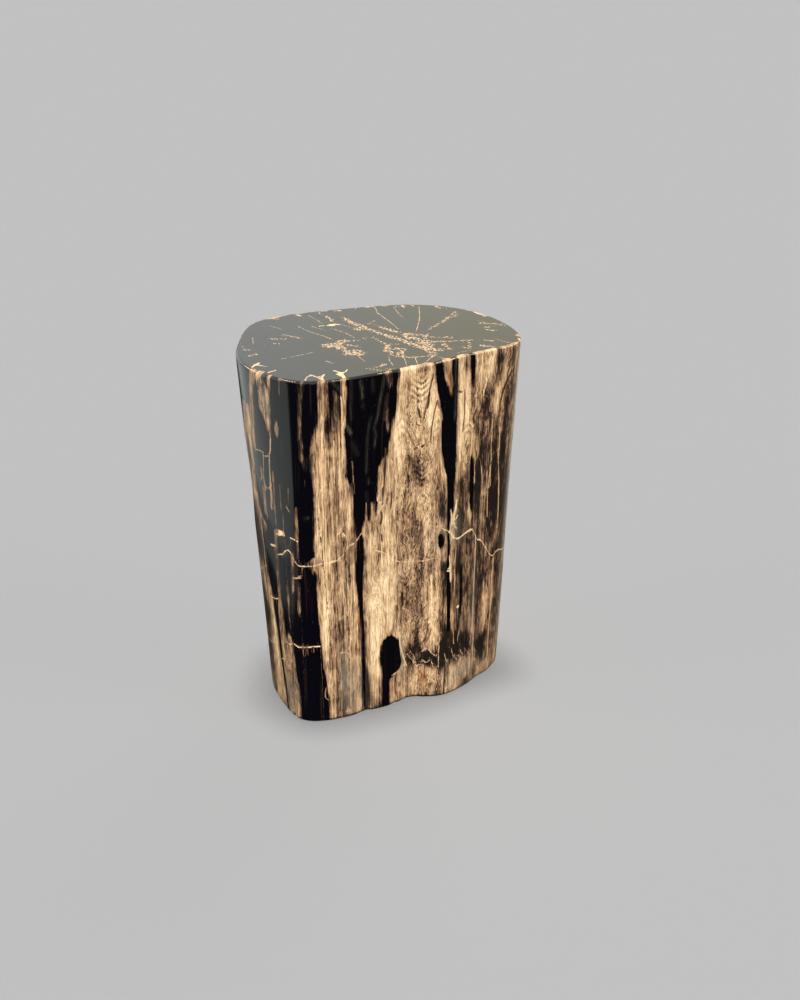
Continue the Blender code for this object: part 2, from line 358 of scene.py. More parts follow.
        (0.88, 0.8, [(459, 276), (459.5, 265), (458.5, 256)]),
        (0.95, 1.2, [(447, 255), (447.5, 248), (446, 240)]), (0.84, 1.0, [(447, 226), (448, 218)]),
        (0.20, 0.8, [(446, 278), (442, 271), (446.1, 265.2), (449.9, 268.3)]),
        (0.86, 0.9, [(494.5, 214), (495.5, 206), (493.5, 200)]), (0.84, 0.9, [(484.5, 258), (481, 250)]),
        (0.80, 0.8, [(478.5, 205), (482, 188)]), (0.82, 0.8, [(498, 143), (496, 124), (499, 112)]),
        (0.80, 0.8, [(489.5, 140), (491.5, 118)]), (0.82, 0.9, [(507.5, 147), (508, 129)]),
        (0.80, 0.8, [(466, 131), (467, 119)]), (0.20, 0.9, [(459, 152), (460.5, 122), (457.5, 102)]),
        (0.16, 1.0, [(443, 161), (446, 141), (443, 121), (444, 96)]),
        (0.20, 0.9, [(511.5, 161), (512.5, 122), (513, 92)]),
        # foot: a pale neck beside the boot, wisps in the smoke, cracks below
        (0.22, 1.1, [(471.5, 93), (472.5, 79), (475.5, 67), (479.5, 56), (482, 48)]),
        (0.45, 0.8, [(480.5, 50), (475, 46), (468.5, 43), (462.5, 41)]),
        (0.86, 0.9, [(509.5, 98), (508, 85), (505, 77), (499.5, 71)]),
        (0.78, 0.8, [(513, 94), (511, 82), (507.5, 74)]),
        (0.42, 0.5, [(502.5, 62), (506.5, 67), (511, 64), (515, 58), (520, 54)]),
        (0.42, 0.5, [(504, 51), (508, 47), (511.5, 51), (515, 45)]),
        (0.45, 0.6, [(522.5, 78), (521.5, 59), (521.5, 40)]),
        (0.50, 0.5, [(484, 62), (489, 55), (495, 49)]), (0.45, 0.5, [(511.5, 66), (517, 72), (522.5, 70)]),
        (0.78, 0.6, [(484.5, 46), (485, 28), (485, 4)]), (0.72, 0.5, [(503, 23), (503.5, 5)]),
        (0.82, 1.0, [(500.5, 36), (503.9, 31.9), (502.2, 26.6)]),
        (0.97, 1.0, [(530, 47), (529, 28), (528, 0)]), (0.80, 0.8, [(534.5, 46), (533.5, 13)]),
        (0.30, 0.9, [(544.5, 29), (546, 11)]), (0.52, 0.5, [(543, 51), (547, 48), (551, 46.5)]),
        (0.50, 0.5, [(562, 51), (568, 44), (572, 40)]), (0.45, 0.5, [(539, 58), (541.5, 50), (547, 42)]),
        (0.48, 0.5, [(529, 55), (532, 46), (531, 39)]), (0.55, 0.5, [(554, 53), (556, 48), (560, 44)]),
        (0.48, 0.5, [(491, 50), (496.9, 43.9), (501.4, 45.4)]),
        (0.55, 0.5, [(577, 50), (581, 44), (585, 40)]),
        (0.50, 0.4, [(487, 66), (492.2, 59.6), (494.1, 54.7)]),
        # in the brown wood of the right
        (0.46, 0.6, [(544, 191), (543, 163), (543, 139), (540, 114), (540.5, 97), (542, 77), (542.5, 66)]),
        (0.10, 2.0, [(548.5, 111.4), (549.2, 111.7)]),
        (0.42, 0.6, [(575.5, 193), (575.5, 161), (575, 122), (575, 87), (572.5, 53)]),
        (0.50, 1.0, [(605, 157), (604.5, 130), (605.5, 100), (605, 60), (606, 35), (607, 12)]),
        (0.55, 0.6, [(550.5, 77), (549, 67)]),
        (0.46, 0.7, [(602, 342), (603, 310), (604, 280), (607, 250), (608.5, 222), (608, 196)]),
        (0.50, 0.7, [(592, 335), (592.5, 300), (593.5, 270), (594.5, 252)]),
        (0.52, 0.6, [(578, 290), (580.5, 275), (582, 262)]),
        (0.52, 0.6, [(582.5, 256), (583.5, 236), (583, 204)]), (0.52, 0.8, [(570.5, 300), (570.5, 263)]),
        (0.52, 0.8, [(588.5, 272), (590.5, 245), (592, 215)]),
        (0.90, 1.3, [(614.5, 388), (608.5, 379), (603.5, 368), (601, 355), (600, 335)]),
        (0.88, 1.3, [(618, 415), (613.5, 405), (607.5, 397)]),
        (0.92, 1.0, [(570.5, 352), (567, 344), (568.5, 336)]),
        (0.28, 0.8, [(586.5, 397), (581.5, 384), (578, 368)]),
        (0.30, 1.0, [(599.5, 373), (597, 360), (599.5, 345)]),
        (0.93, 1.4, [(599.5, 294), (591.5, 280), (584.5, 264)]),
        (0.86, 0.8, [(559.5, 319), (556.9, 312.7), (558.8, 307.7)]),
        (0.82, 0.9, [(561.5, 310), (558.5, 302)]), (0.84, 1.2, [(546.7, 379.2), (549.8, 377.9)]),
        (0.28, 0.8, [(555.5, 336), (562, 339), (566.5, 334)]),
        (0.82, 0.8, [(555, 378), (555, 350), (553, 330)]),
        (0.12, 0.9, [(536, 238), (537, 224), (535.5, 215)]),
        (0.16, 0.9, [(545, 248), (542, 234), (539.5, 222), (543.5, 214)]),
        (0.16, 0.8, [(537.5, 228), (542, 224), (545.5, 228)]),
        (0.20, 0.8, [(536, 212), (539, 206), (536, 198)]),
        (0.22, 1.0, [(535, 181), (536, 163), (536.5, 148)]), (0.12, 1.2, [(532.8, 162.7), (535.4, 162.3)]),
        # the back and the right side
        (0.50, 0.8, [(629, 400), (627, 300), (630, 180)]),
        (0.50, 0.8, [(690, 330), (688, 220), (692, 120), (690, 30)]),
        (0.50, 0.9, [(784, 410), (786, 300), (783, 180), (785, 60)]),
        (0.55, 0.8, [(835, 160), (834, 90), (837, 10)]), (0.50, 0.9, [(16, 420), (14, 330), (17, 240)]),
        (0.55, 0.8, [(84, 400), (82, 300), (86, 150), (84, 40)]),
        (0.55, 0.8, [(142, 420), (141, 330), (139, 300)]),
        (0.52, 0.8, [(205, 410), (203, 340), (204, 290)]),
        (0.55, 0.8, [(241, 401), (244.5, 341), (243, 281)]),
        (0.85, 1.0, [(648.5, 330), (650.5, 240), (647.5, 150)]),
        (0.85, 0.9, [(732, 360), (735, 250), (730, 150)]), (0.85, 0.9, [(122, 330), (119, 230)]),
    ],
    # nested Vs where the cut crosses the growth rings: girth, slope of the arms (negative: arch), spacing,
    # half width, lowest and highest, amount
    "figures": [
        (495.1, 0.85, 7.2, 12, 372.4, 412.4, 0.32), (471.8, -1.2, 9.5, 8, 333.6, 369.6, 0.17),
        (498.4, 0.8, 6.5, 7, 267.5, 305.5, 0.13), (517.1, -1.6, 9, 5, 329.9, 371.9, 0.16),
        (478.4, 0.7, 7, 8, 140.4, 180.4, 0.14), (560.6, -0.9, 8, 6, 322.4, 344.4, 0.20),
        (738, 0.8, 12, 12, 330, 400, 0.16), (114, 0.8, 10, 10, 270, 350, 0.14),
    ],
    # healed cracks across the grain: (girth, up) points. The three sets keep cracks apart that overlap.
    "seams": [
        [[(0, 208), (40, 196), (90, 205), (140, 190), (190, 172), (226.5, 166), (258.5, 162), (278.5, 174),
          (287, 180)],
         [(314.5, 205), (325.5, 208), (329.5, 213), (334.2, 217.2), (338.1, 215.2), (343, 207),
          (348.5, 201), (355.5, 201), (367, 202), (377, 205), (386.5, 204), (393.5, 206), (400.5, 211),
          (405.5, 221), (414.5, 223), (422.1, 232.5), (426, 233.7), (431.5, 223), (440.5, 208), (450, 204),
          (455.5, 199), (459.5, 193), (465.5, 190), (478.5, 185), (501, 181), (519, 183), (531, 184)],
         [(516, 223), (523.5, 219), (531, 214), (536.5, 208), (541, 203), (546, 199), (558.5, 202),
          (569.5, 205), (574, 197), (578, 189), (584.5, 186), (591, 176), (598, 165), (604.2, 160.3),
          (607.3, 163.8), (614, 166), (621, 162), (660, 175), (700, 190), (740, 182), (790, 200),
          (830, 214), (853, 208)]],
        [[(285.5, 140), (293.5, 141), (305, 144), (313, 148)],
         [(313, 226), (316, 231), (325, 233), (330.9, 233)], [(338.5, 233), (350.5, 230)],
         [(379, 201), (385, 206), (399.5, 205)], [(690, 92), (730, 86), (772, 99)],
         [(150, 300), (190, 312), (214.5, 306)]],
        [[(243.5, 68), (267.5, 74), (283.5, 75)], [(306.5, 66), (316, 70)],
         [(322, 97), (331, 96), (338, 99), (345, 97), (353, 99), (362, 100), (371.5, 100)],
         [(388.5, 88), (401.5, 87)], [(30, 70), (70, 62), (118, 78)]],
    ],
    # rows of pinholes along the grain: (girth, up) points
    "pinholeRows": [
        [(372, 268), (373.5, 245), (375.5, 220), (377.5, 185), (380, 155), (382.5, 130), (382.5, 100),
         (384.5, 72)],
        [(399.5, 231), (401.5, 211), (402.5, 199), (401.5, 164), (403.5, 139), (404, 109), (405, 59)],
        [(406.5, 191), (406.5, 179)], [(417.5, 121), (417.5, 69)], [(730, 260), (733, 120)],
        [(114, 200), (117, 90)],
    ],
    # patches that are browner, or paler where negative: (girth, up, half width, half height, amount)
    "patches": [
        # right of the central crack
        (545, 206, 6, 26, 0.30), (544, 160, 4, 26, 0.26), (545, 118, 4, 34, 0.26),
        # central panel
        (489.5, 369, 34, 60, -0.11), (497.5, 415, 6, 5, 0.40), (477, 401, 8, 12, 0.08),
        (489.5, 297, 10, 16, 0.68), (483.5, 310, 5, 9, 0.34), (498.5, 279, 5, 7, 0.44),
        (487.5, 224, 16, 34, 0.22), (472, 213, 7, 20, 0.14), (483, 204, 9, 16, 0.18),
        (485.5, 252, 9, 18, -0.10), (491.5, 130, 21, 46, 0.32), (478.5, 165, 10, 22, 0.14),
        (500.5, 108, 9, 22, 0.22), (524.5, 251, 5, 24, 0.56), (523, 239, 4, 10, 0.30),
        (498.5, 344, 7, 14, 0.10), (527, 170, 5, 7, 0.40), (526.5, 133, 4, 50, 0.34),
        (524.7, 96, 3, 18, 0.42), (528.8, 92, 1.6, 12, 0.40), (511.5, 116, 5, 60, -0.10),
        (508.5, 340, 9, 40, -0.06), (514.5, 300, 6, 30, -0.14), (470.5, 340, 8, 40, -0.12),
        (510.5, 394, 4, 14, -0.16), (471, 400, 5, 20, -0.10), (456.5, 201, 6, 90, -0.16),
        (446, 262, 6, 18, -0.16), (437.5, 148, 7, 26, -0.12), (440.5, 76, 5, 40, -0.16),
        (459.5, 122, 8, 30, -0.16), (447, 320, 4, 10, 0.25), (431, 240, 5, 20, 0.10),
        (427, 165, 3.5, 30, 0.28), (427, 105, 3, 50, 0.30), (429, 26, 6, 36, 0.40),
        (442.5, 12, 4, 20, 0.20), (435.7, 51, 3, 30, -0.10),
        # left panel
        (395.5, 189, 24, 170, 0.17), (390.5, 149, 5, 120, 0.18), (390, 269, 5, 60, 0.10),
        (398.5, 57, 6, 44, 0.18), (414.5, 242, 4, 14, 0.45), (414.3, 204, 3, 20, 0.22),
        (377, 180, 5, 170, -0.12), (408.5, 159, 4, 60, -0.08), (381, 394, 8, 26, 0.20),
        (396.5, 384, 6, 30, 0.30), (379, 350, 12, 26, 0.10), (405.5, 379, 5, 40, -0.02),
        (405, 319, 4, 20, 0.16), (409, 291, 4, 16, 0.30), (370.5, 340, 6, 20, 0.22),
        (357, 380, 6, 60, 0.30), (357.5, 340, 5, 18, 0.12), (360.7, 297, 3, 9, 0.30),
        (357.5, 204, 7, 6, 0.22), (418.3, 119, 3, 40, 0.20),
        # brown bits in the black, and the right
        (454, 372, 5, 30, 0.32), (456, 412, 6, 9, 0.38), (527.5, 408, 8, 12, 0.30),
        (534.5, 386, 5, 18, 0.18), (556.5, 408, 4, 12, 0.40), (550, 345, 5, 60, -0.06),
        (553.5, 301, 7, 30, -0.18), (565.3, 362, 3, 20, 0.34), (575.5, 402, 9, 18, -0.10),
        (586.5, 395, 5, 14, -0.14), (597, 408, 4, 16, 0.42), (599, 402, 4, 12, 0.22),
        (592, 385, 8, 14, 0.34), (585, 367, 9, 14, 0.38), (579.5, 350, 8, 12, 0.32),
        (574.5, 330, 8, 14, 0.20), (608.5, 300, 5, 60, 0.30), (571.5, 286, 5, 20, 0.20),
        (581.5, 300, 4, 30, 0.24), (612.5, 406, 7, 14, 0.24), (598, 362, 4, 14, -0.22),
        (609.5, 352, 6, 24, 0.38), (572.5, 325, 5, 20, 0.12), (591.5, 296, 24, 52, 0.37),
        (591, 200, 28, 80, 0.38), (555.5, 240, 8, 32, 0.30), (576, 249, 4, 42, 0.32),
        (597.5, 285, 5, 56, 0.30), (602.5, 225, 4, 36, 0.28), (588.9, 338, 3.5, 14, 0.34),
        (619, 240, 12, 120, 0.34), (573.5, 132, 14, 60, 0.26), (601, 60, 20, 40, 0.16),
        (549, 227, 5, 22, 0.34), (548.5, 269, 6, 18, 0.26), (564, 226, 4, 14, -0.30),
        (550, 175, 5, 18, 0.46), (558.5, 133, 14, 60, 0.34), (613, 110, 12, 100, 0.34),
        (585.5, 151, 12, 40, 0.16), (592.5, 109, 4, 11, -0.34), (594.5, 77, 4, 10, -0.24),
        (584.5, 96, 7, 30, 0.20), (539.7, 134, 3, 40, 0.12), (616.5, 380, 5, 40, 0.10),
        # smoke at the foot, and the crystalline wood under it
        (490.5, 58, 11.5, 13, 0.90), (498, 60, 6, 14, 0.45), (496.1, 84, 2.6, 13, 0.45),
        (487, 74, 5, 6, 0.12), (507.5, 53, 9, 8, 0.75), (516.5, 51, 7.8, 9.6, 0.60), (529, 60, 9, 15, 0.85),
        (535.5, 84, 4, 13, 0.38), (543, 63, 15.7, 16.8, 1.00), (560, 60, 12, 11.5, 0.90),
        (571.5, 53, 4.5, 12, 0.40), (590, 46, 9, 16, 0.62), (525.5, 41, 5, 7, 0.35),
        (498, 18, 34, 20, 0.02), (487, 14, 14, 12, -0.10), (557.5, 29, 20, 12, -0.02),
        (582, 14, 6, 12, 0.34), (563, 8, 4, 6, 0.60), (469.5, 37, 9, 5, 0.16),
        # left side
        (310, 390, 10, 26, 0.20), (288, 371, 8, 50, 0.15), (265.5, 230, 16, 34, 0.42),
        (293, 351, 8, 80, 0.12), (308, 408, 10, 14, 0.32), (312, 385, 8, 16, 0.14),
        (271, 302, 14, 60, 0.12), (273, 268, 9, 5, -0.24), (265.5, 207, 15, 34, 0.42),
        (267, 115, 11, 30, 0.50), (292.5, 73, 4, 44, -0.20), (276, 158, 4, 14, -0.20),
        (272.5, 123, 24, 130, 0.20), (268, 44, 14, 30, 0.16), (268.5, 322, 16, 70, 0.10),
        (248.5, 202, 10, 200, 0.20), (294.5, 217, 6, 22, 0.26), (284, 192, 9, 27, 0.34),
        (314.5, 193, 4, 50, 0.44), (317.5, 120, 6, 30, 0.26), (329.5, 72, 9, 34, 0.40),
        (329.5, 29, 14, 26, 0.26), (331.2, 144, 3, 34, 0.22), (345, 177, 6, 40, 0.46),
        (300, 64, 4, 60, -0.06), (332.5, 412, 4, 12, 0.28),
        # the back
        (640.5, 260, 20, 190, 0.34), (680, 60, 16, 90, 0.30), (730, 190, 16, 90, 0.14),
        (804, 160, 8, 120, 0.20), (4, 330, 14, 90, 0.18), (36, 90, 16, 60, 0.24), (116, 240, 12, 120, 0.18),
        (180, 360, 10, 60, 0.16), (165, 90, 20, 90, 0.28), (223.5, 151, 14, 110, 0.34),
        (738, 300, 8, 80, -0.16), (864, 380, 8, 60, -0.14), (122, 340, 8, 60, -0.16),
    ],
    # greyer wood
    "greyPatches": [
        (409.5, 39, 12, 34, 0.7), (397.5, 59, 4, 34, 0.7), (558.5, 25, 22, 13, 0.75), (475, 61, 5, 26, 0.6),
        (447, 268, 5, 10, 0.5), (519.5, 206, 18, 26, 0.35), (543.5, 214, 10, 16, 0.4),
        (327.5, 27, 14, 30, 0.55), (575, 102, 4, 60, 0.5), (312, 388, 8, 14, 0.5), (720, 60, 20, 40, 0.5),
        (60, 40, 16, 40, 0.5),
    ],
    # orange stains
    "amberPatches": [
        (461.2, 24, 3, 16, 0.7), (502, 31, 7, 8, 0.7), (505.6, 21, 3, 4, 0.8), (418.3, 127, 2, 18, 0.9),
        (592.5, 107, 5, 14, 0.5), (594.5, 79, 4, 10, 0.5), (539.7, 105, 3, 26, 0.4),
        (534.5, 388, 4, 16, 0.4), (289, 42, 6, 20, 0.3), (287, 366, 5, 50, 0.3), (411.5, 81, 4, 14, 0.35),
        (760, 150, 5, 60, 0.5), (130, 150, 5, 60, 0.5),
    ],
    # faint grey wisps in the black: amount, half width, then (girth, up) points
    "wisps": [
        (0.22, 1.3, [(413.5, 418), (413.5, 394), (412.5, 371)]),
        (0.60, 1.4, [(424, 415), (426, 404), (426, 394)]), (0.35, 1.3, [(426.4, 387.5), (427.8, 383.5)]),
        (0.90, 1.3, [(406, 367), (409.5, 360), (412.5, 355)]),
        (0.45, 1.3, [(451, 416), (448, 398), (445.5, 385), (443, 371), (440, 358)]),
        (0.40, 1.2, [(439, 358), (441, 348), (439.5, 335)]),
        (0.30, 1.2, [(435.5, 371), (431.5, 352), (430.5, 330), (429.5, 305)]),
        (0.50, 1.2, [(431.2, 297.7), (432.4, 292.8)]), (0.15, 1.6, [(429, 282), (431.5, 262)]),
        (0.18, 1.6, [(437.5, 413), (438.5, 400)]), (0.40, 1.5, [(393, 418), (397.3, 412), (400.4, 408.4)]),
        (0.40, 1.5, [(542.5, 418), (541.5, 395), (542.5, 375), (541.5, 348)]),
        (0.30, 1.3, [(361.9, 259.9), (357.9, 259.1)]), (0.14, 1.6, [(362.5, 330), (360.5, 318)]),
        (0.14, 2.4, [(413, 344), (419, 329)]),
    ],
    # where the grain is curly
    "curls": [
        (493.5, 329, 24, 90, 1.0), (489.5, 200, 24, 90, 0.9), (493.5, 110, 22, 50, 1.0),
        (440.5, 151, 10, 40, 0.9), (556.5, 301, 12, 60, 0.4), (587, 370, 26, 50, 0.5),
        (591, 200, 26, 110, 0.1), (552, 31, 30, 25, 0.9), (445, 265, 8, 20, 0.9), (310, 395, 12, 30, 0.8),
        (329, 37, 16, 40, 0.6), (271, 302, 16, 60, 0.5), (500.5, 20, 34, 22, 0.6),
        (640.5, 250, 26, 150, 0.5), (738, 250, 30, 150, 0.7), (115, 250, 20, 120, 0.7),
        (860, 330, 20, 80, 0.6), (0, 330, 20, 80, 0.6),
    ],
}

# Marks of the sawn top, in mm from the growth axis: half width, then (x, y) points.
topMarks = {
    "veinTone": 0.30,
    "gritWidth": 1.25,       # of the drawn half width, because the grains' outlines take some off
    "veins": [     # thin pale cracks that run out from the pith
        (0.27, [(-4, 131), (-1, 118), (0, 105), (6, 92), (12, 77), (18, 62), (24, 44)]),
        (0.14, [(20, 124), (26, 100), (30, 87)]), (0.23, [(50, 127), (50, 98), (49, 75), (45, 37)]),
        (0.14, [(-80, 95), (-70, 78), (-64, 66)]), (0.23, [(-91, 55), (-77, 35), (-62, 22), (-50, 7)]),
        (0.23, [(-51, 46), (-37, 32), (-26, 15)]), (0.14, [(-122, 56), (-109, 45)]),
        (0.18, [(-107, 27), (-85, 12)]), (0.14, [(-40, 60), (-20, 42)]),
        (0.18, [(-72, -37), (-86, -46), (-104, -57)]), (0.23, [(-20, -52), (-14, -65)]),
        (0.18, [(-56, -65), (-49, -72)]), (0.18, [(13, -50), (13, -62), (17, -80)]),
        (0.23, [(30, -57), (32, -82)]), (0.23, [(41, -50), (44, -77)]),
        (0.32, [(66, -44), (58, -58), (50, -77)]), (0.23, [(55, -35), (61, -46), (57, -62)]),
        (0.18, [(67, -52), (80, -65)]), (0.18, [(134, 9), (140, 0), (154, -9)]),
        (0.18, [(-141, 15), (-139, -5)]), (0.14, [(-60, 40), (-75, 55)]), (0.14, [(90, -40), (104, -30)]),
        # solid pale patches, most of them at the rim
        (1.5, [(-54, 61), (-49, 62.5), (-45, 61)]), (1.4, [(-57, 58), (-50, 58)]),
        (0.9, [(-66, 56), (-62, 57)]), (1.4, [(-137, -86), (-129, -71)]), (0.7, [(-133, -76), (-121, -82)]),
        (0.8, [(-117, -101), (-110, -95)]),
        (0.7, [(-77, -127), (-75, -116), (-71, -110), (-66, -115), (-62, -120), (-60, -127)]),
        (1.2, [(-57, -109), (-59, -116), (-58, -125)]), (1.3, [(-46, -97), (-42, -101), (-38, -104)]),
        (0.9, [(-38, -104), (-34, -100), (-33, -95)]), (2.0, [(-40, -104), (-37, -112), (-35, -122)]),
        (1.2, [(-43, -108), (-39, -113)]), (1.2, [(-93, 99), (-90, 94)]), (0.9, [(31, 131), (32, 126)]),
        (0.8, [(74, 122), (69, 131)]),
    ],
    "grit": [      # granular tan fillings
        (1.0, [(-40, 91), (-35, 78)]), (2.2, [(-36, 80), (-28, 66), (-20, 58)]),
        (3.4, [(-22, 58), (-15, 50), (-22, 44)]), (1.8, [(-15, 50), (0, 33), (15, 18)]),
        (2.6, [(14, 19), (28, 4), (40, -10)]), (3.2, [(36, -6), (48, -18), (56, -27)]),
        (2.4, [(46, -4), (56, -16), (62, -26)]), (3.0, [(56, -27), (70, -29)]),
        (0.4, [(-10, 64), (-3, 73)]), (0.3, [(-7, 65), (4, 51)]), (1.8, [(5, 50), (14, 41), (30, 27)]),
        (2.0, [(30, 27), (45, 24), (55, 18)]), (2.6, [(40, 14), (52, 2), (60, -12)]),
        (2.2, [(30, 26), (36, 10)]), (0.6, [(55, 18), (66, 14), (80, 14)]), (1.4, [(78, 15), (83, 13)]),
        (0.8, [(56, 25), (55, 9)]), (1.6, [(56, 1), (66, -1)]), (0.8, [(60, -2), (80, 0)]),
        (0.8, [(80, 0), (94, 2), (106, 4)]), (0.8, [(120, 3), (130, 2)]), (1.4, [(74, -9), (81, -26)]),
        (0.8, [(95, -20), (102, -25)]), (0.5, [(103, -22), (104, -5)]), (1.6, [(116, -15), (128, -20)]),
        (0.5, [(-5, 15), (5, 0)]), (1.2, [(5, 0), (12, -15)]), (2.0, [(12, -14), (10, -32), (16, -36)]),
        (1.0, [(12, -13), (22, -9)]), (2.4, [(18, -24), (30, -27), (26, -38)]),
        (0.8, [(16, -36), (15, -47)]),
        (0.7, [(15, -47), (24, -52), (38, -55), (55, -50), (62, -40), (55, -32)]),
        (2.6, [(25, -44), (28, -51)]), (0.5, [(60, -28), (64, -38)]), (5.4, [(-55, -12), (-47, -13)]),
        (4.0, [(-46, -14), (-40, -23)]), (3.6, [(-43, -6), (-38, 2)]),
        (0.6, [(-36, 0), (-22, 5), (-12, 14)]), (1.2, [(-35, -10), (-21, -17)]),
        (2.8, [(-34, -32), (-26, -31), (-20, -34)]), (3.0, [(-33, -41), (-26, -45), (-19, -43)]),
        (2.4, [(-28, -38), (-24, -39)]), (0.5, [(-17, -40), (-12, -38)]), (0.4, [(-70, 106), (-60, 95)]),
        (1.0, [(-60, 95), (-52, 73)]), (0.8, [(-120, 11), (-104, 10)]), (0.5, [(-127, -10), (-111, -6)]),
        (0.4, [(-107, 24), (-88, 14)]), (0.8, [(92, 108), (84, 88)]), (1.2, [(84, 88), (76, 70)]),
        (0.5, [(76, 70), (60, 43)]), (0.4, [(96, 98), (84, 84)]), (0.6, [(117, 64), (137, 62), (148, 55)]),
        (0.6, [(124, 48), (146, 60)]), (1.4, [(127, 40), (134, 39)]), (0.4, [(125, 90), (135, 87)]),
        (0.5, [(119, 72), (124, 66)]), (0.6, [(20, 138), (24, 122)]), (1.6, [(30, 131), (31, 129)]),
        (0.9, [(42, 134), (44, 130)]), (0.8, [(68, 131), (74, 122)]), (0.6, [(78, 128), (82, 120)]),
        (1.4, [(-15, 131), (-12, 128)]), (1.2, [(-29, 126), (-26, 122)]), (1.5, [(-50, 116), (-44, 113)]),
        (1.4, [(-93, 98), (-90, 94)]), (1.2, [(-121, 85), (-117, 82)]), (1.2, [(-148, -26), (-143, -27)]),
        (1.4, [(-140, -47), (-134, -43)]), (0.8, [(-152, -17), (-149, -16)]), (0.8, [(-10, -90), (4, -97)]),
        (0.9, [(0, -85), (9, -76)]), (0.6, [(9, -92), (18, -93)]),
    ],
    # where the rim's arris is painted pale, partly as wear and partly as a painted highlight: girth, length,
    # half width in mm
    "rimWearAndHighlight": [
        (343.4, 30, 0.3), (401.4, 40, 0.2), (452.1, 30, 0.3), (487.6, 50, 0.3), (534.4, 60, 0.5),
        (578.3, 60, 0.5), (613.4, 50, 0.6), (700, 60, 0.4), (800, 80, 0.3), (60, 90, 0.4), (180, 70, 0.4),
        (290.5, 40, 0.4),
    ],
}


def fromReading(girth, at):   # mm along the girth from a reading, the shorter way round
    return np.mod(girth - at + girthTotal / 2, girthTotal) - girthTotal / 2


def inStreak(rows, girth, up):   # mm inside a streak from its nearer edge, negative outside it
    rows = sorted(rows)
    levels = np.array([r[0] for r in rows], float)
    left = np.interp(up, levels, [r[1] for r in rows])
    right = np.interp(up, levels, [r[2] for r in rows])
    middle, half = (left + right) / 2, (right - left) / 2
    across = half - np.abs(fromReading(girth, middle))
    past = np.maximum(levels[0] - up, up - levels[-1])
    foot, rim = marks["openEnds"]
    runsOn = ((levels[0] <= 0) & (up < foot)) | ((levels[-1] >= stump["height"] * 1000) & (up > rim))
    past = np.where(runsOn, 0, past)
    return np.where(past > 0, np.minimum(across, 0) - marks["endSlope"] * past, across)


def offLine(x, y, points):   # mm from a drawn line, and the side of it
    nearest, side = np.full(x.shape, np.inf), np.ones(x.shape)
    for (x0, y0), (x1, y1) in zip(points, points[1:]):
        length = math.hypot(x1 - x0, y1 - y0)
        ex, ey = (x1 - x0) / length, (y1 - y0) / length
        along = np.clip((x - x0) * ex + (y - y0) * ey, 0, length)
        off = np.hypot(x - x0 - ex * along, y - y0 - ey * along)
        side = np.where(off < nearest, np.where((x - x0) * ey > (y - y0) * ex, 1.0, -1.0), side)
        nearest = np.minimum(nearest, off)
    return nearest, side


noLine, noSeam = 30.0, 50.0      # mm, where there is no line and no healed crack near


def drawLines(x, y, table):   # the nearest line's side and distance, its half width and its tone
    drawn = {"lineNear": np.full(x.shape, noLine), "lineOff": np.full(x.shape, noLine),
             "lineHalf": np.zeros(x.shape), "lineTone": np.full(x.shape, 0.5)}
    for tone, halfWidth, points in table:
        off, side = offLine(x, y, points)
        closer = off - halfWidth < drawn["lineNear"] - drawn["lineHalf"]
        line = {"lineNear": off, "lineOff": off * side, "lineHalf": halfWidth, "lineTone": tone}
        for name, value in line.items():
            drawn[name] = np.where(closer, value, drawn[name])
    return drawn


def paintRimWearAndHighlight(paint, girth, rimOff):   # the pale line along the top's arris: worn wood, and a painted highlight
    half = np.zeros(girth.shape)
    for at, length, halfWidth in topMarks["rimWearAndHighlight"]:
        half = np.maximum(half, halfWidth * bump(fromReading(girth, at), length))
    closer = (half > 0.1) & (np.abs(rimOff) - half < paint["lineNear"] - paint["lineHalf"])
    wornAndLit = {"lineNear": np.abs(rimOff), "lineOff": rimOff, "lineHalf": half,
            "lineTone": topMarks["veinTone"]}
    for name, value in wornAndLit.items():
        paint[name] = np.where(closer, value, paint[name])


def clouds(patches, girth, up):   # soft patches added together
    total = np.zeros(girth.shape)
    for atGirth, atUp, wide, tall, amount in patches:
        across = fromReading(girth, atGirth)
        total += amount * np.exp(-(across / wide) ** 2 - ((up - atUp) / tall) ** 2)
    return total


def offSeams(seams, girth, up):   # signed mm above a healed crack
    above = np.full(girth.shape, noSeam)
    for points in seams:
        at = np.array(points, float)
        here = (girth >= at[0, 0]) & (girth <= at[-1, 0])
        above = np.where(here, up - np.interp(girth, at[:, 0], at[:, 1]), above)
    return above


midWall = wallRadius(angles, np.full_like(angles, stump["height"] / 2)) * 1000
midX, midY = midWall * np.cos(np.radians(angles)), midWall * np.sin(np.radians(angles))
steps = np.hypot(np.diff(midX, append=midX[0]), np.diff(midY, append=midY[0]))
girthTotal = steps.sum()
girthAt = np.concatenate([[0], np.cumsum(steps)[:-1]])
girthAt += stump["frontGirth"] - np.interp(270, angles, girthAt)
print("girth at half height", round(girthTotal, 1), "mm")


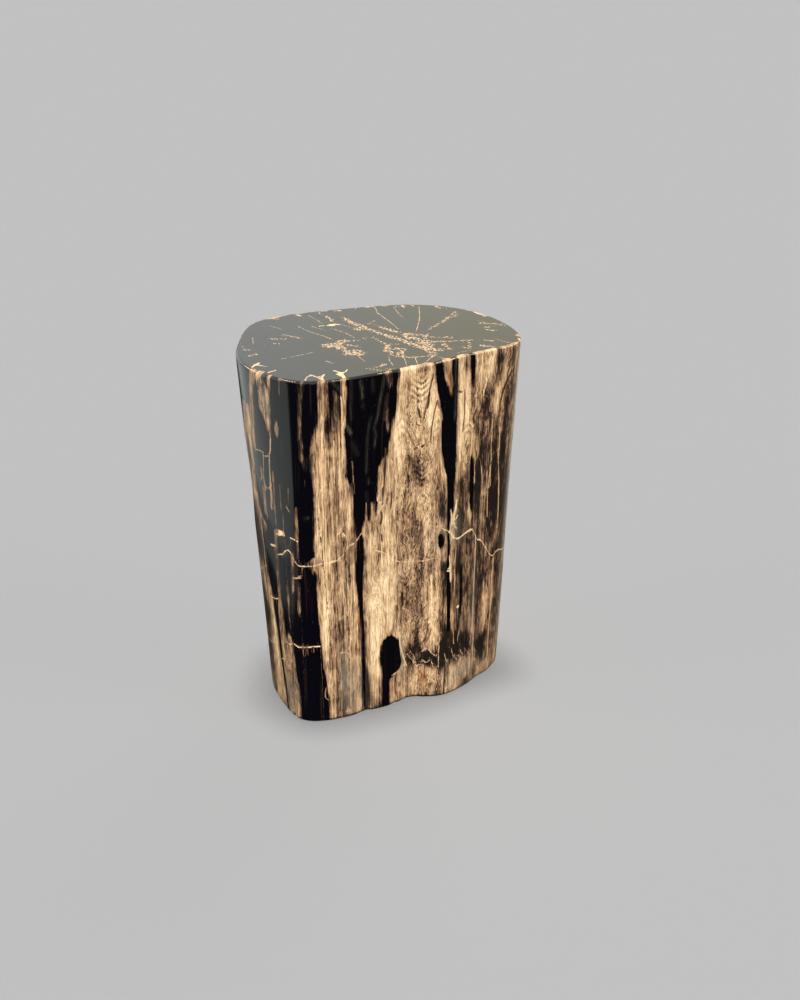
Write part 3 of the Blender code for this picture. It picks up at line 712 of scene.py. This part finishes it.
def paintWall(places):   # every wall point's marks, as named values
    up = places[..., 2] * 1000
    girth = np.broadcast_to(girthAt, up.shape)
    wide, tall = marks["strayCell"]
    wander = np.array([noise.noise(Vector((g / wide, u / tall, 0.5)))
                       for g, u in zip(girth.ravel(), up.ravel())])
    unseen = np.maximum(marks["seen"][0] - girth, girth - marks["seen"][1]) / marks["seenFade"]
    wander = np.clip(unseen, 0, 1) * wander.reshape(up.shape)
    strayed, jolted = girth + marks["stray"] * wander, up + marks["jolt"] * wander
    wood = np.full(up.shape, float(-marks["edgeDepth"]))
    for rows in marks["woodPanels"]:
        wood = np.maximum(wood, inStreak(rows, strayed, up))
    for rows in marks["blackStreaks"]:
        wood = np.minimum(wood, -inStreak(rows, strayed, up))
    pinhole, wisp = np.full(up.shape, noLine), np.zeros(up.shape)
    for points in marks["pinholeRows"]:
        off, side = offLine(girth, up, points)
        pinhole = np.where(off < np.minimum(5, np.abs(pinhole)), off * side, pinhole)
    for amount, halfWidth, points in marks["wisps"]:
        wisp = np.maximum(wisp, amount * np.exp(-(offLine(girth, up, points)[0] / halfWidth) ** 2))
    paint = drawLines(strayed, up, marks["lines"])
    phase, fade = np.zeros(up.shape), np.zeros(up.shape)
    for middle, slope, spacing, half, low, high, amount in marks["figures"]:
        across = np.hypot(girth - middle, 1.5)      # the tips of the Vs are a little round
        here = amount * np.exp(-(across / half) ** 2) * bump(up - (low + high) / 2, (high - low) * 1.25)
        phase = np.where(here > fade, (up - slope * across) / spacing, phase)
        fade = np.maximum(fade, here)
    arrisStart = places[-1 - stump["topArrisRings"]]
    inset = np.linalg.norm((places - arrisStart)[..., :2], axis=-1) * 1000
    inset = inset * (up > arrisStart[..., 2] * 1000)
    # the pale line on the arris: wear, and a painted highlight
    paintRimWearAndHighlight(paint, girth, stump["height"] * 1000 - up - inset)
    # painted shade: darker towards the foot, and almost black along its edge
    (low, lowShade), (edge, edgeShade) = marks["footShade"], marks["footEdgeShade"]
    brownAndShade = clouds(marks["patches"], girth, up) + lowShade * np.exp(-(up / low) ** 2)
    brownAndShade = np.minimum(marks["mostBrown"], brownAndShade) + edgeShade * np.exp(-(up / edge) ** 2)
    paint.update({
        "wood": np.clip(wood, -marks["edgeDepth"], marks["edgeDepth"]), "brownAndShade": brownAndShade,
        "grey": np.minimum(1, clouds(marks["greyPatches"], girth, up)),
        "amber": np.minimum(1, clouds(marks["amberPatches"], girth, up)),
        "curl": np.minimum(1, marks["curlEverywhere"] + clouds(marks["curls"], girth, up)),
        "ringPhase": phase, "ringFade": fade, "wisp": wisp, "pinhole": pinhole,
        "grit": np.full(up.shape, noLine), "sawn": np.zeros(up.shape),
    })
    for name, seams in zip(("seamA", "seamB", "seamC"), marks["seams"]):
        paint[name] = offSeams(seams, girth, jolted)
    return paint


def paintEnd(places, rim, rimPaint, sawn):   # an end: the streaks turn over the rim, then the top's marks
    x, y = places[..., 0] * 1000, places[..., 1] * 1000
    inset = np.linalg.norm(places - rim, axis=-1) * 1000
    paint = {name: np.broadcast_to(values, x.shape).copy() for name, values in rimPaint.items()}
    start, slope, fade = marks["overRim"]
    wood = np.minimum(paint["wood"], start) - slope * inset
    paint["wood"] = np.clip(wood, -marks["edgeDepth"], marks["edgeDepth"])
    for name in ("brownAndShade", "grey", "amber", "curl", "wisp", "ringFade"):
        paint[name] = paint[name] * np.exp(-inset / fade)
    veins = [(topMarks["veinTone"], halfWidth, points) for halfWidth, points in topMarks["veins"]]
    paint.update(drawLines(x, y, veins))
    for halfWidth, points in topMarks["grit"]:
        off = offLine(x, y, points)[0] - topMarks["gritWidth"] * halfWidth
        paint["grit"] = np.minimum(paint["grit"], off)
    if not sawn:
        girth = np.broadcast_to(girthAt[:x.shape[-1]], x.shape)
        # the pale line on the arris: wear, and a painted highlight
        paintRimWearAndHighlight(paint, girth, -stump["topArris"] * 1000 - inset)
    for name in ("seamA", "seamB", "seamC", "pinhole"):
        paint[name] = np.full(x.shape, noSeam)
    paint["sawn"] = np.full(x.shape, float(sawn))
    return paint


# Where the grain waves: mm everywhere, then (girth, half width, mm more). In metres, a wave's size across
# and along, and how far it reaches in over the rim.
grainWaves = {"mm": 0.8, "more": [(485, 42, 2.6), (585, 30, 1.0)], "size": (0.028, 0.055), "overRim": 0.012}


def bentGrain(places):   # the grain's own coordinates: the wall's lean taken out, its slow waves put in
    outline = smoothLoop(stump["outline"], angles)
    turn = np.radians(angles)
    straight = np.stack([np.cos(turn) * outline, np.sin(turn) * outline], -1)
    grain = np.concatenate([np.broadcast_to(straight, places.shape[:-1] + (2,)), places[..., 2:]], -1)
    girth = np.broadcast_to(girthAt, places.shape[:-1])
    waviness = grainWaves["mm"]
    for middle, half, amount in grainWaves["more"]:
        waviness = waviness + amount * np.exp(-((girth - middle) / half) ** 2)
    across, along = grainWaves["size"]
    waves = np.array([noise.noise(Vector((x / across, y / across, z / along)))
                      for x, y, z in grain.reshape(-1, 3)]).reshape(girth.shape)
    sideways = (waviness * waves / 1000)[..., None]
    return grain + sideways * np.stack([-np.sin(turn), np.cos(turn), 0 * turn], -1)


def buildStump():
    wallPaint = paintWall(wallPlaces)
    rimPaint = {name: values[-1] for name, values in wallPaint.items()}
    footPaint = {name: values[0] for name, values in wallPaint.items()}
    parts = [paintEnd(basePlaces, wallPlaces[0], footPaint, 1), wallPaint,
             paintEnd(topPlaces, wallPlaces[-1], rimPaint, 0)]
    pithPaint = paintEnd(pithPlace[None], pithPlace[None], {name: v[:1] for name, v in rimPaint.items()}, 0)
    pithPaint["wood"][:] = -marks["edgeDepth"]
    paint = {name: np.concatenate([part[name].ravel() for part in parts] + [pithPaint[name].ravel()])
             for name in wallPaint}
    wallGrain = bentGrain(wallPlaces)
    rimBend = wallGrain[-1] - wallPlaces[-1]
    fade = np.exp(-np.linalg.norm(topPlaces - wallPlaces[-1], axis=-1) / grainWaves["overRim"])[..., None]
    baseGrain = wallGrain[0] + basePlaces - wallPlaces[0]
    topGrain = topPlaces + rimBend * fade
    grain = [places.reshape(-1, 3) for places in (baseGrain, wallGrain, topGrain, pithPlace)]
    grain = np.concatenate(grain)
    print("marks painted on", len(grain), "points")

    rings = np.concatenate([basePlaces, wallPlaces, topPlaces])
    middle = (rings.reshape(-1, 3).min(0) + rings.reshape(-1, 3).max(0)) / 2
    low, high = (Vector(corner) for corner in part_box("stump"))
    shift = Vector(((low.x + high.x) / 2 - middle[0], (low.y + high.y) / 2 - middle[1], low.z))
    shape = bmesh.new()
    ring = bmesh.ops.create_circle(shape, cap_ends=True, segments=len(angles), radius=1.0)["verts"]
    base = shape.faces[:]
    edges = shape.edges[:]
    for vertex, place in zip(ring, rings[0]):
        vertex.co = place
    bmesh.ops.reverse_faces(shape, faces=base)
    for places in rings[1:]:
        made = bmesh.ops.extrude_edge_only(shape, edges=edges)["geom"]
        edges = [part for part in made if isinstance(part, bmesh.types.BMEdge) and len(part.link_faces) == 1]
        grown = [part for part in made if isinstance(part, bmesh.types.BMVert)]
        for vertex, place in zip(grown, places):
            vertex.co = place
    made = bmesh.ops.extrude_edge_only(shape, edges=edges)["geom"]
    grown = [part for part in made if isinstance(part, bmesh.types.BMVert)]
    bmesh.ops.pointmerge(shape, verts=grown, merge_co=Vector(pithPlace))
    bmesh.ops.recalc_face_normals(shape, faces=shape.faces[:])
    bmesh.ops.translate(shape, verts=shape.verts[:], vec=shift)
    mesh = bpy.data.meshes.new("petrified_stump")
    shape.to_mesh(mesh)
    shape.free()
    if len(mesh.vertices) != len(grain):
        raise ValueError(f"{len(mesh.vertices)} points in the mesh, {len(grain)} painted")
    for name, values in paint.items():
        mesh.attributes.new(name, "FLOAT", "POINT").data.foreach_set("value", values.astype(np.float32))
    layer = mesh.attributes.new("grain", "FLOAT_VECTOR", "POINT")
    layer.data.foreach_set("vector", grain.astype(np.float32).ravel())
    mesh.shade_smooth()
    mesh.set_sharp_from_angle(angle=math.radians(50))
    mesh.materials.append(petrifiedWood())
    piece = bpy.data.objects.new("petrified_stump", mesh)
    bpy.context.scene.collection.objects.link(piece)
    print("stump built,", len(mesh.vertices), "points")
    return piece, shift


# Silicified wood, ground and polished: opaque black chalcedony with cream and brown replaced wood. It is
# glassy where it is black, and a little duller where the pale wood has open pores.
stone = {
    "ior": 1.54,                       # quartz
    "blackRoughness": 0.11, "woodRoughness": 0.30, "sawnRoughness": 0.55,
    "black": "#040308", "blackThread": "#1c130f", "blackSpeck": "#3a372f", "wisp": "#625f50",
    # the wood's tone, from cream to almost black
    "wood": [(0.00, "#f8dbae"), (0.16, "#e8c69a"), (0.34, "#cfac82"), (0.50, "#b6936c"),
             (0.64, "#987758"), (0.78, "#715540"), (0.90, "#48362a"), (1.00, "#1c1613")],
    "greyWood": "#8e8674", "amberWood": "#a9672c", "pinhole": "#17110d",
    "plainTone": 0.19, "seamTone": 0.13, "fringeTone": 0.70, "gritTone": 0.36, "gritEdgeTone": 0.72,
    "brownTone": 1.15, "rimTone": 0.26,    # how far brown patches and the painted shade at the foot, and the rim of the wood, darken it
    # noise along the grain: mm across it and along it, detail, distortion, whether it follows the curls
    "fibres": {
        "hair": (0.8, 14, 2, 0, True), "fine": (1.4, 80, 3, 0, True), "wavy": (1.5, 26, 3, 0, True),
        "coarse": (4.6, 130, 2, 0, False), "mottle": (7, 14, 4, 0.6, False), "broad": (20, 65, 2, 0, False),
        "pore": (0.9, 4.5, 2, 0, True), "grains": (2.1, 2.1, 2, 0, False),
    },
    "fibreRoughness": 0.55,
    "granule": 3.2,                    # mm: one grain of the top's fillings
    "curl": (9, 10),                   # mm: the size of the curls across and along
    "curlReach": 0.0085,               # metres by which they swing the grain
    # how much each noise changes the tone, and how much as crisp bands: half range, amount
    "toneBy": {"mottle": 0.8, "hair": 1.25, "broad": 1.0},
    "bandsBy": {"fine": (0.13, 0.32), "coarse": (0.16, 0.23)},
    "poreTone": 0.3,
    # mm by which each noise shifts an edge: the black's, a healed crack's, a thin line's
    "blackSway": {"coarse": 11.0, "hair": 3.5, "fine": 8.0},
    "seamSway": {"hair": 2.0, "mottle": 4.0},
    "lineSway": {"hair": 1.6, "fine": 3.0},
    "relief": 0.0005, "reliefStrength": 0.35,      # metres, open pores in the wood
}


def petrifiedWood():
    material = bpy.data.materials.new("polished_petrified_wood")
    material.use_nodes = True
    tree = material.node_tree
    tree.nodes.clear()
    mark = {}
    for name in ("wood", "brownAndShade", "grey", "amber", "curl", "ringPhase", "ringFade", "seamA", "seamB",
                 "seamC", "lineNear", "lineOff", "lineHalf", "lineTone", "grit", "wisp", "pinhole", "sawn"):
        mark[name] = put(tree, "Attribute", output="Fac", attribute_name=name)

    # the grain's coordinates, swung to and fro where it is curly
    straight = put(tree, "Attribute", output="Vector", attribute_name="grain")
    across, along = stone["curl"]
    cells = (1000 / across, 1000 / across, 1000 / along)      # to the metre
    swing = put(tree, "VectorMath", [straight, cells], operation="MULTIPLY")
    swing = put(tree, "TexNoise", {"Vector": swing, "Scale": 1.0, "Detail": 1.0}, output="Color")
    swing = put(tree, "VectorMath", [swing, (0.5, 0.5, 0.5)], operation="SUBTRACT")
    reach = put(tree, "Math", [mark["curl"], stone["curlReach"]], operation="MULTIPLY")
    swing = put(tree, "VectorMath", [swing, reach], operation="SCALE")
    curly = put(tree, "VectorMath", [straight, swing], operation="ADD")

    fibre = {}       # noise stretched along the grain, about -0.5 to 0.5
    for name, (across, along, detail, distortion, followsCurls) in stone["fibres"].items():
        cells = (1000 / across, 1000 / across, 1000 / along)
        place = put(tree, "VectorMath", [curly if followsCurls else straight, cells], operation="MULTIPLY")
        value = put(tree, "TexNoise", {"Vector": place, "Scale": 1.0, "Detail": detail,
                                       "Roughness": stone["fibreRoughness"], "Distortion": distortion})
        fibre[name] = put(tree, "Math", [value, 0.5], operation="SUBTRACT")
    fibre["fine"] = put(tree, "Mix", [mark["curl"], fibre["fine"], fibre["wavy"]])
    hair, fine, coarse, mottle = fibre["hair"], fibre["fine"], fibre["coarse"], fibre["mottle"]

    # where the wood ends and the black begins, frayed along the fibres
    edge = mark["wood"]
    for name, sway in stone["blackSway"].items():
        edge = put(tree, "Math", [fibre[name], sway, edge], operation="MULTIPLY_ADD")
    isWood = put(tree, "MapRange", [edge, -0.3, 0.3], interpolation_type="SMOOTHSTEP")

    # how brown the wood is, with the painted shade at the foot
    tone = [mark["brownAndShade"], stone["brownTone"], stone["plainTone"]]
    tone = put(tree, "Math", tone, operation="MULTIPLY_ADD")
    for name, amount in stone["toneBy"].items():
        tone = put(tree, "Math", [fibre[name], amount, tone], operation="MULTIPLY_ADD")
    bands = 0.0      # crisp light and dark fibres
    for name, (half, amount) in stone["bandsBy"].items():
        crisp = put(tree, "MapRange", [fibre[name], -half, half], interpolation_type="SMOOTHSTEP")
        bands = put(tree, "Math", [crisp, amount, bands], operation="MULTIPLY_ADD")
    evenness = put(tree, "MapRange", {"Value": mark["brownAndShade"], "To Min": 1.0, "To Max": 0.4})
    # browner wood is the more even
    tone = put(tree, "Math", [bands, evenness, tone], operation="MULTIPLY_ADD")
    rings = put(tree, "Math", [mottle, 1.1, mark["ringPhase"]], operation="MULTIPLY_ADD")
    rings = put(tree, "Math", [rings, 2 * math.pi], operation="MULTIPLY")
    rings = put(tree, "Math", [rings], operation="SINE")
    tone = put(tree, "Math", [rings, mark["ringFade"], tone], operation="MULTIPLY_ADD")
    rim = put(tree, "MapRange", [edge, 3.0, 0.0], interpolation_type="SMOOTHSTEP")
    tone = put(tree, "Math", [rim, stone["rimTone"], tone], operation="MULTIPLY_ADD")
    pores = put(tree, "MapRange", [fibre["pore"], 0.13, 0.22], interpolation_type="SMOOTHSTEP")
    tone = put(tree, "Math", [pores, stone["poreTone"], tone], operation="MULTIPLY_ADD")

    # healed cracks: a ragged pale line, and brown fringes along it where it crosses black
    plain = put(tree, "MapRange", [mottle, -0.10, 0.08], interpolation_type="SMOOTHSTEP")
    browned = put(tree, "MapRange", [mark["brownAndShade"], 0.34, 0.46], interpolation_type="SMOOTHSTEP")
    plain = put(tree, "Math", [plain, browned], operation="MAXIMUM")
    plain = put(tree, "Math", [plain, 0.9], operation="MULTIPLY")
    combed = put(tree, "Math", [hair, 0.5, fine], operation="MULTIPLY_ADD")
    combed = put(tree, "MapRange", [combed, 0.05, 0.11], interpolation_type="SMOOTHSTEP")
    fringeTone = put(tree, "Math", [hair, 1.0, stone["fringeTone"]], operation="MULTIPLY_ADD")
    seamTone = put(tree, "Math", [fibre["grains"], 0.8, stone["seamTone"]], operation="MULTIPLY_ADD")
    for name in ("seamA", "seamB", "seamC"):
        off = mark[name]
        for kind, sway in stone["seamSway"].items():
            off = put(tree, "Math", [fibre[kind], sway, off], operation="MULTIPLY_ADD")
        off = put(tree, "Math", [off], operation="ABSOLUTE")
        line = put(tree, "Math", [fine, 2.6, off], operation="MULTIPLY_ADD")
        line = put(tree, "MapRange", [line, 0.95, 0.35], interpolation_type="SMOOTHSTEP")
        fringe = put(tree, "Math", [coarse, 18.0, off], operation="MULTIPLY_ADD")
        fringe = put(tree, "MapRange", [fringe, 7.0, 1.0], interpolation_type="SMOOTHSTEP")
        fringe = put(tree, "Math", [fringe, combed], operation="MULTIPLY")
        black = put(tree, "Math", [1.0, isWood], operation="SUBTRACT")
        fringe = put(tree, "Math", [fringe, black], operation="MULTIPLY")
        tone = put(tree, "Mix", [fringe, tone, fringeTone])
        strength = put(tree, "Mix", [isWood, 0.95, plain])
        strength = put(tree, "Math", [line, strength], operation="MULTIPLY")
        tone = put(tree, "Mix", [strength, tone, seamTone])
        seam = put(tree, "Math", [line, fringe], operation="MAXIMUM")
        isWood = put(tree, "Math", [isWood, seam], operation="MAXIMUM")

    # thin lines of wood in the black, and dark and pale ones in the wood
    lineEdge = put(tree, "Math", [mark["lineOff"]], operation="ABSOLUTE")
    lineEdge = put(tree, "Math", [lineEdge, mark["lineHalf"]], operation="SUBTRACT")
    for name, sway in stone["lineSway"].items():
        lineEdge = put(tree, "Math", [fibre[name], sway, lineEdge], operation="MULTIPLY_ADD")
    isLine = put(tree, "MapRange", [lineEdge, 0.3, -0.3], interpolation_type="SMOOTHSTEP")
    isNear = put(tree, "MapRange", [mark["lineNear"], 2.6, 2.0], interpolation_type="SMOOTHSTEP")
    isLine = put(tree, "Math", [isLine, isNear], operation="MULTIPLY")
    lineTone = put(tree, "Math", [mottle, 0.5, mark["lineTone"]], operation="MULTIPLY_ADD")
    lineTone = put(tree, "Math", [hair, 0.5, lineTone], operation="MULTIPLY_ADD")
    tone = put(tree, "Mix", [isLine, tone, lineTone])
    isWood = put(tree, "Math", [isWood, isLine], operation="MAXIMUM")

    # granular fillings of the top: cream grains with brown outlines
    granules = put(tree, "VectorMath", [straight, (1000 / stone["granule"],) * 3], operation="MULTIPLY")
    granules = put(tree, "TexVoronoi", {"Vector": granules, "Scale": 1.0})
    gritEdge = put(tree, "Math", [mark["grit"], -1.1], operation="MAXIMUM")
    gritEdge = put(tree, "Math", [fibre["grains"], 14.0, gritEdge], operation="MULTIPLY_ADD")
    gritEdge = put(tree, "Math", [granules, 7.0, gritEdge], operation="MULTIPLY_ADD")
    isGrit = put(tree, "MapRange", [gritEdge, 3.5, 2.9], interpolation_type="SMOOTHSTEP")
    gritTone = put(tree, "MapRange", [gritEdge, 3.1, 0.6], interpolation_type="SMOOTHSTEP")
    gritTone = put(tree, "Mix", [gritTone, stone["gritEdgeTone"], stone["gritTone"]])
    gritTone = put(tree, "Math", [hair, 0.6, gritTone], operation="MULTIPLY_ADD")
    tone = put(tree, "Mix", [isGrit, tone, gritTone])
    isWood = put(tree, "Math", [isWood, isGrit], operation="MAXIMUM")

    ramp = put(tree, "ValToRGB", [tone]).node
    stops = ramp.color_ramp.elements
    while len(stops) < len(stone["wood"]):
        stops.new(0.5)
    for stop, (at, code) in zip(stops, stone["wood"]):
        stop.position = at
        stop.color = (*colour(code), 1)
    greyed = put(tree, "Math", [mark["grey"], 0.55], operation="MULTIPLY")
    woodColour = put(tree, "Mix", [greyed, ramp.outputs[0], stone["greyWood"]], data_type="RGBA")
    stain = put(tree, "Math", [mottle, 2.0, 0.45], operation="MULTIPLY_ADD")
    stain = put(tree, "Math", [mark["amber"], stain], operation="MULTIPLY", use_clamp=True)
    woodColour = put(tree, "Mix", [stain, woodColour, stone["amberWood"]], data_type="RGBA")

    # the black: faint brown fibres, specks and grey wisps
    threads = put(tree, "MapRange", [coarse, 0.10, 0.22], interpolation_type="SMOOTHSTEP")
    black = put(tree, "Mix", [threads, stone["black"], stone["blackThread"]], data_type="RGBA")
    specks = put(tree, "MapRange", [fibre["grains"], 0.20, 0.28], interpolation_type="SMOOTHSTEP")
    black = put(tree, "Mix", [specks, black, stone["blackSpeck"]], data_type="RGBA")
    wisps = put(tree, "Math", [hair, 3.0, 0.5], operation="MULTIPLY_ADD")
    wisps = put(tree, "Math", [mark["wisp"], wisps], operation="MULTIPLY", use_clamp=True)
    black = put(tree, "Mix", [wisps, black, stone["wisp"]], data_type="RGBA")
    surface = put(tree, "Mix", [isWood, black, woodColour], data_type="RGBA")

    # rows of pinholes
    hole = put(tree, "Math", [mottle, 2.0, mark["pinhole"]], operation="MULTIPLY_ADD")
    hole = put(tree, "Math", [hole], operation="ABSOLUTE")
    hole = put(tree, "MapRange", [hole, 0.9, 0.5], interpolation_type="SMOOTHSTEP")
    dots = put(tree, "MapRange", [fibre["pore"], -0.02, 0.04], interpolation_type="SMOOTHSTEP")
    hole = put(tree, "Math", [hole, dots], operation="MULTIPLY")
    surface = put(tree, "Mix", [hole, surface, stone["pinhole"]], data_type="RGBA")

    rough = put(tree, "MapRange", {"Value": isWood, "To Min": stone["blackRoughness"],
                                   "To Max": stone["woodRoughness"]})
    rough = put(tree, "Math", [mottle, 0.06, rough], operation="MULTIPLY_ADD")
    sawn = put(tree, "Math", [mark["sawn"], stone["sawnRoughness"]], operation="MULTIPLY")
    rough = put(tree, "Math", [rough, sawn], operation="MAXIMUM")

    # fine relief: the fibres stand up, the pores and pinholes are open
    relief = put(tree, "Math", [fine, 0.5], operation="MULTIPLY")
    relief = put(tree, "Math", [fibre["pore"], -0.6, relief], operation="MULTIPLY_ADD")
    relief = put(tree, "Math", [relief, isWood], operation="MULTIPLY")
    relief = put(tree, "Math", [hole, -1.5, relief], operation="MULTIPLY_ADD")
    normal = put(tree, "Bump", {"Height": relief, "Strength": stone["reliefStrength"],
                                "Distance": stone["relief"]})

    shader = put(tree, "BsdfPrincipled", {"Base Color": surface, "Roughness": rough, "IOR": stone["ior"],
                                          "Metallic": 0.0, "Normal": normal})
    put(tree, "OutputMaterial", {"Surface": shader})
    return material


piece, shift = buildStump()
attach(piece, "root")
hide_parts("stump")


# Plain pale floor and soft studio light. The floor and the far background are the same grey.
studio = {
    "backdrop": "#c2c2c2", "floorHalf": 14.0, "floorShade": 0.2755,
    "fill": 0.12,                          # even light from all round
    "glow": 1.18, "glowLow": 0.03,         # what the polish mirrors above and below the horizon
    "glowLeft": "#f7fbf8", "glowRight": "#fdf8da",
    # strength, softness in degrees, where it comes from, and whether it casts a shadow
    "suns": {
        "key": (4.5, 30, (-0.10, -1.0, 0.72), False),
        "left": (0.5, 40, (-1.0, -0.3, 0.4), False),
        "right": (1.0, 40, (1.0, -0.3, 0.4), False),
        "back": (1.6, 40, (0.5, 1.0, 0.5), False),
        "overhead": (1.92, 8, (-0.02, 0.042, 1.0), True),
    },
    # reflector cards that only the stone sees: middle, the way it faces, width, height, glow, colour
    "cards": {
        "left": ((-0.78, 0.66, 0.435), (1, 0, 0), 2.40, 1.13, 0.8, "#f6fff6"),
        "leftLow": ((-0.78, 0.66, -0.18), (1, 0, 0), 2.40, 0.10, 0.35, "#f6fff6"),
        "right": ((0.95, 1.20, 0.20), (-1, 0, 0), 1.30, 1.6, 1.1, "#fff3d6"),
    },
}


def makeFloor():
    shape = bmesh.new()
    bmesh.ops.create_grid(shape, x_segments=1, y_segments=1, size=studio["floorHalf"])
    mesh = bpy.data.meshes.new("floor")
    shape.to_mesh(mesh)
    shape.free()
    material = bpy.data.materials.new("matt_paper_backdrop")   # plain paper, no gloss
    material.use_nodes = True
    tree = material.node_tree
    tree.nodes.clear()
    shade = studio["floorShade"]
    paper = put(tree, "BsdfDiffuse", {"Color": (shade, shade, shade, 1)})
    put(tree, "OutputMaterial", {"Surface": paper})
    mesh.materials.append(material)
    floor = bpy.data.objects.new("floor", mesh)
    bpy.context.scene.collection.objects.link(floor)
    floor.visible_glossy = False    # the polish mirrors the studio's dark half instead
    floor.visible_diffuse = False
    floor.visible_shadow = False
    return floor


def makeWorld():
    world = bpy.data.worlds.new("studio")
    world.use_nodes = True
    bpy.context.scene.world = world
    tree = world.node_tree
    tree.nodes.clear()
    path = put(tree, "LightPath").node.outputs
    direction = put(tree, "TexCoord", output="Generated")
    split = put(tree, "SeparateXYZ", [direction]).node.outputs
    glow = put(tree, "MapRange", [split["Z"], -0.02, 0.20, studio["glowLow"], studio["glow"]],
               interpolation_type="SMOOTHSTEP")
    across = put(tree, "MapRange", [split["X"], -0.08, 0.06])
    tint = put(tree, "ValToRGB", [across]).node
    for stop, side in zip(tint.color_ramp.elements, ("glowLeft", "glowRight")):
        stop.color = (*colour(studio[side]), 1)
    fill = put(tree, "Background", {"Color": (1, 1, 1, 1), "Strength": studio["fill"]})
    mirrored = put(tree, "Background", {"Color": tint.outputs[0], "Strength": glow})
    seen = put(tree, "Background", {"Color": studio["backdrop"], "Strength": 1.0})
    light = put(tree, "MixShader", [path["Is Glossy Ray"], fill, mirrored])
    light = put(tree, "MixShader", [path["Is Camera Ray"], light, seen])
    put(tree, "OutputWorld", {"Surface": light})


def aim(thing, way):   # turns a lamp so that it shines along a direction
    thing.rotation_mode = "QUATERNION"
    thing.rotation_quaternion = Vector(way).to_track_quat("-Z", "Y")


def makeLights():
    for name, (strength, soft, place, shadow) in studio["suns"].items():
        lamp = bpy.data.lights.new(name, "SUN")
        lamp.energy = strength
        lamp.angle = math.radians(soft)
        lamp.use_shadow = shadow
        thing = bpy.data.objects.new(name, lamp)
        aim(thing, -Vector(place))
        thing.visible_glossy = False
        bpy.context.scene.collection.objects.link(thing)
    stoneOnly = bpy.data.collections.new("lit_by_cards")
    stoneOnly.objects.link(piece)
    for name, (middle, way, width, height, glow, code) in studio["cards"].items():
        lamp = bpy.data.lights.new(name + "_card", "AREA")
        lamp.shape = "RECTANGLE"
        lamp.size, lamp.size_y = width, height
        lamp.energy = glow * math.pi * width * height
        lamp.color = colour(code)
        lamp.use_shadow = False
        thing = bpy.data.objects.new(name + "_card", lamp)
        thing.location = middle
        aim(thing, way)
        thing.visible_camera = False
        thing.light_linking.receiver_collection = stoneOnly
        bpy.context.scene.collection.objects.link(thing)


def makeCamera():
    photo = {"place": (0.0, -2.0098, 1.10482), "tilt": 66.364, "turn": -0.734, "lens": 67.68, "sensor": 36}
    data = bpy.data.cameras.new("photo_camera")
    data.lens = photo["lens"]
    data.sensor_width = photo["sensor"]
    camera = bpy.data.objects.new("photo_camera", data)
    camera.location = Vector(photo["place"]) + shift
    camera.rotation_euler = (math.radians(photo["tilt"]), 0, math.radians(photo["turn"]))
    bpy.context.scene.collection.objects.link(camera)
    bpy.context.scene.camera = camera


makeFloor()
makeWorld()
makeLights()
makeCamera()
bpy.context.scene.view_settings.view_transform = "Standard"
print("studio ready")
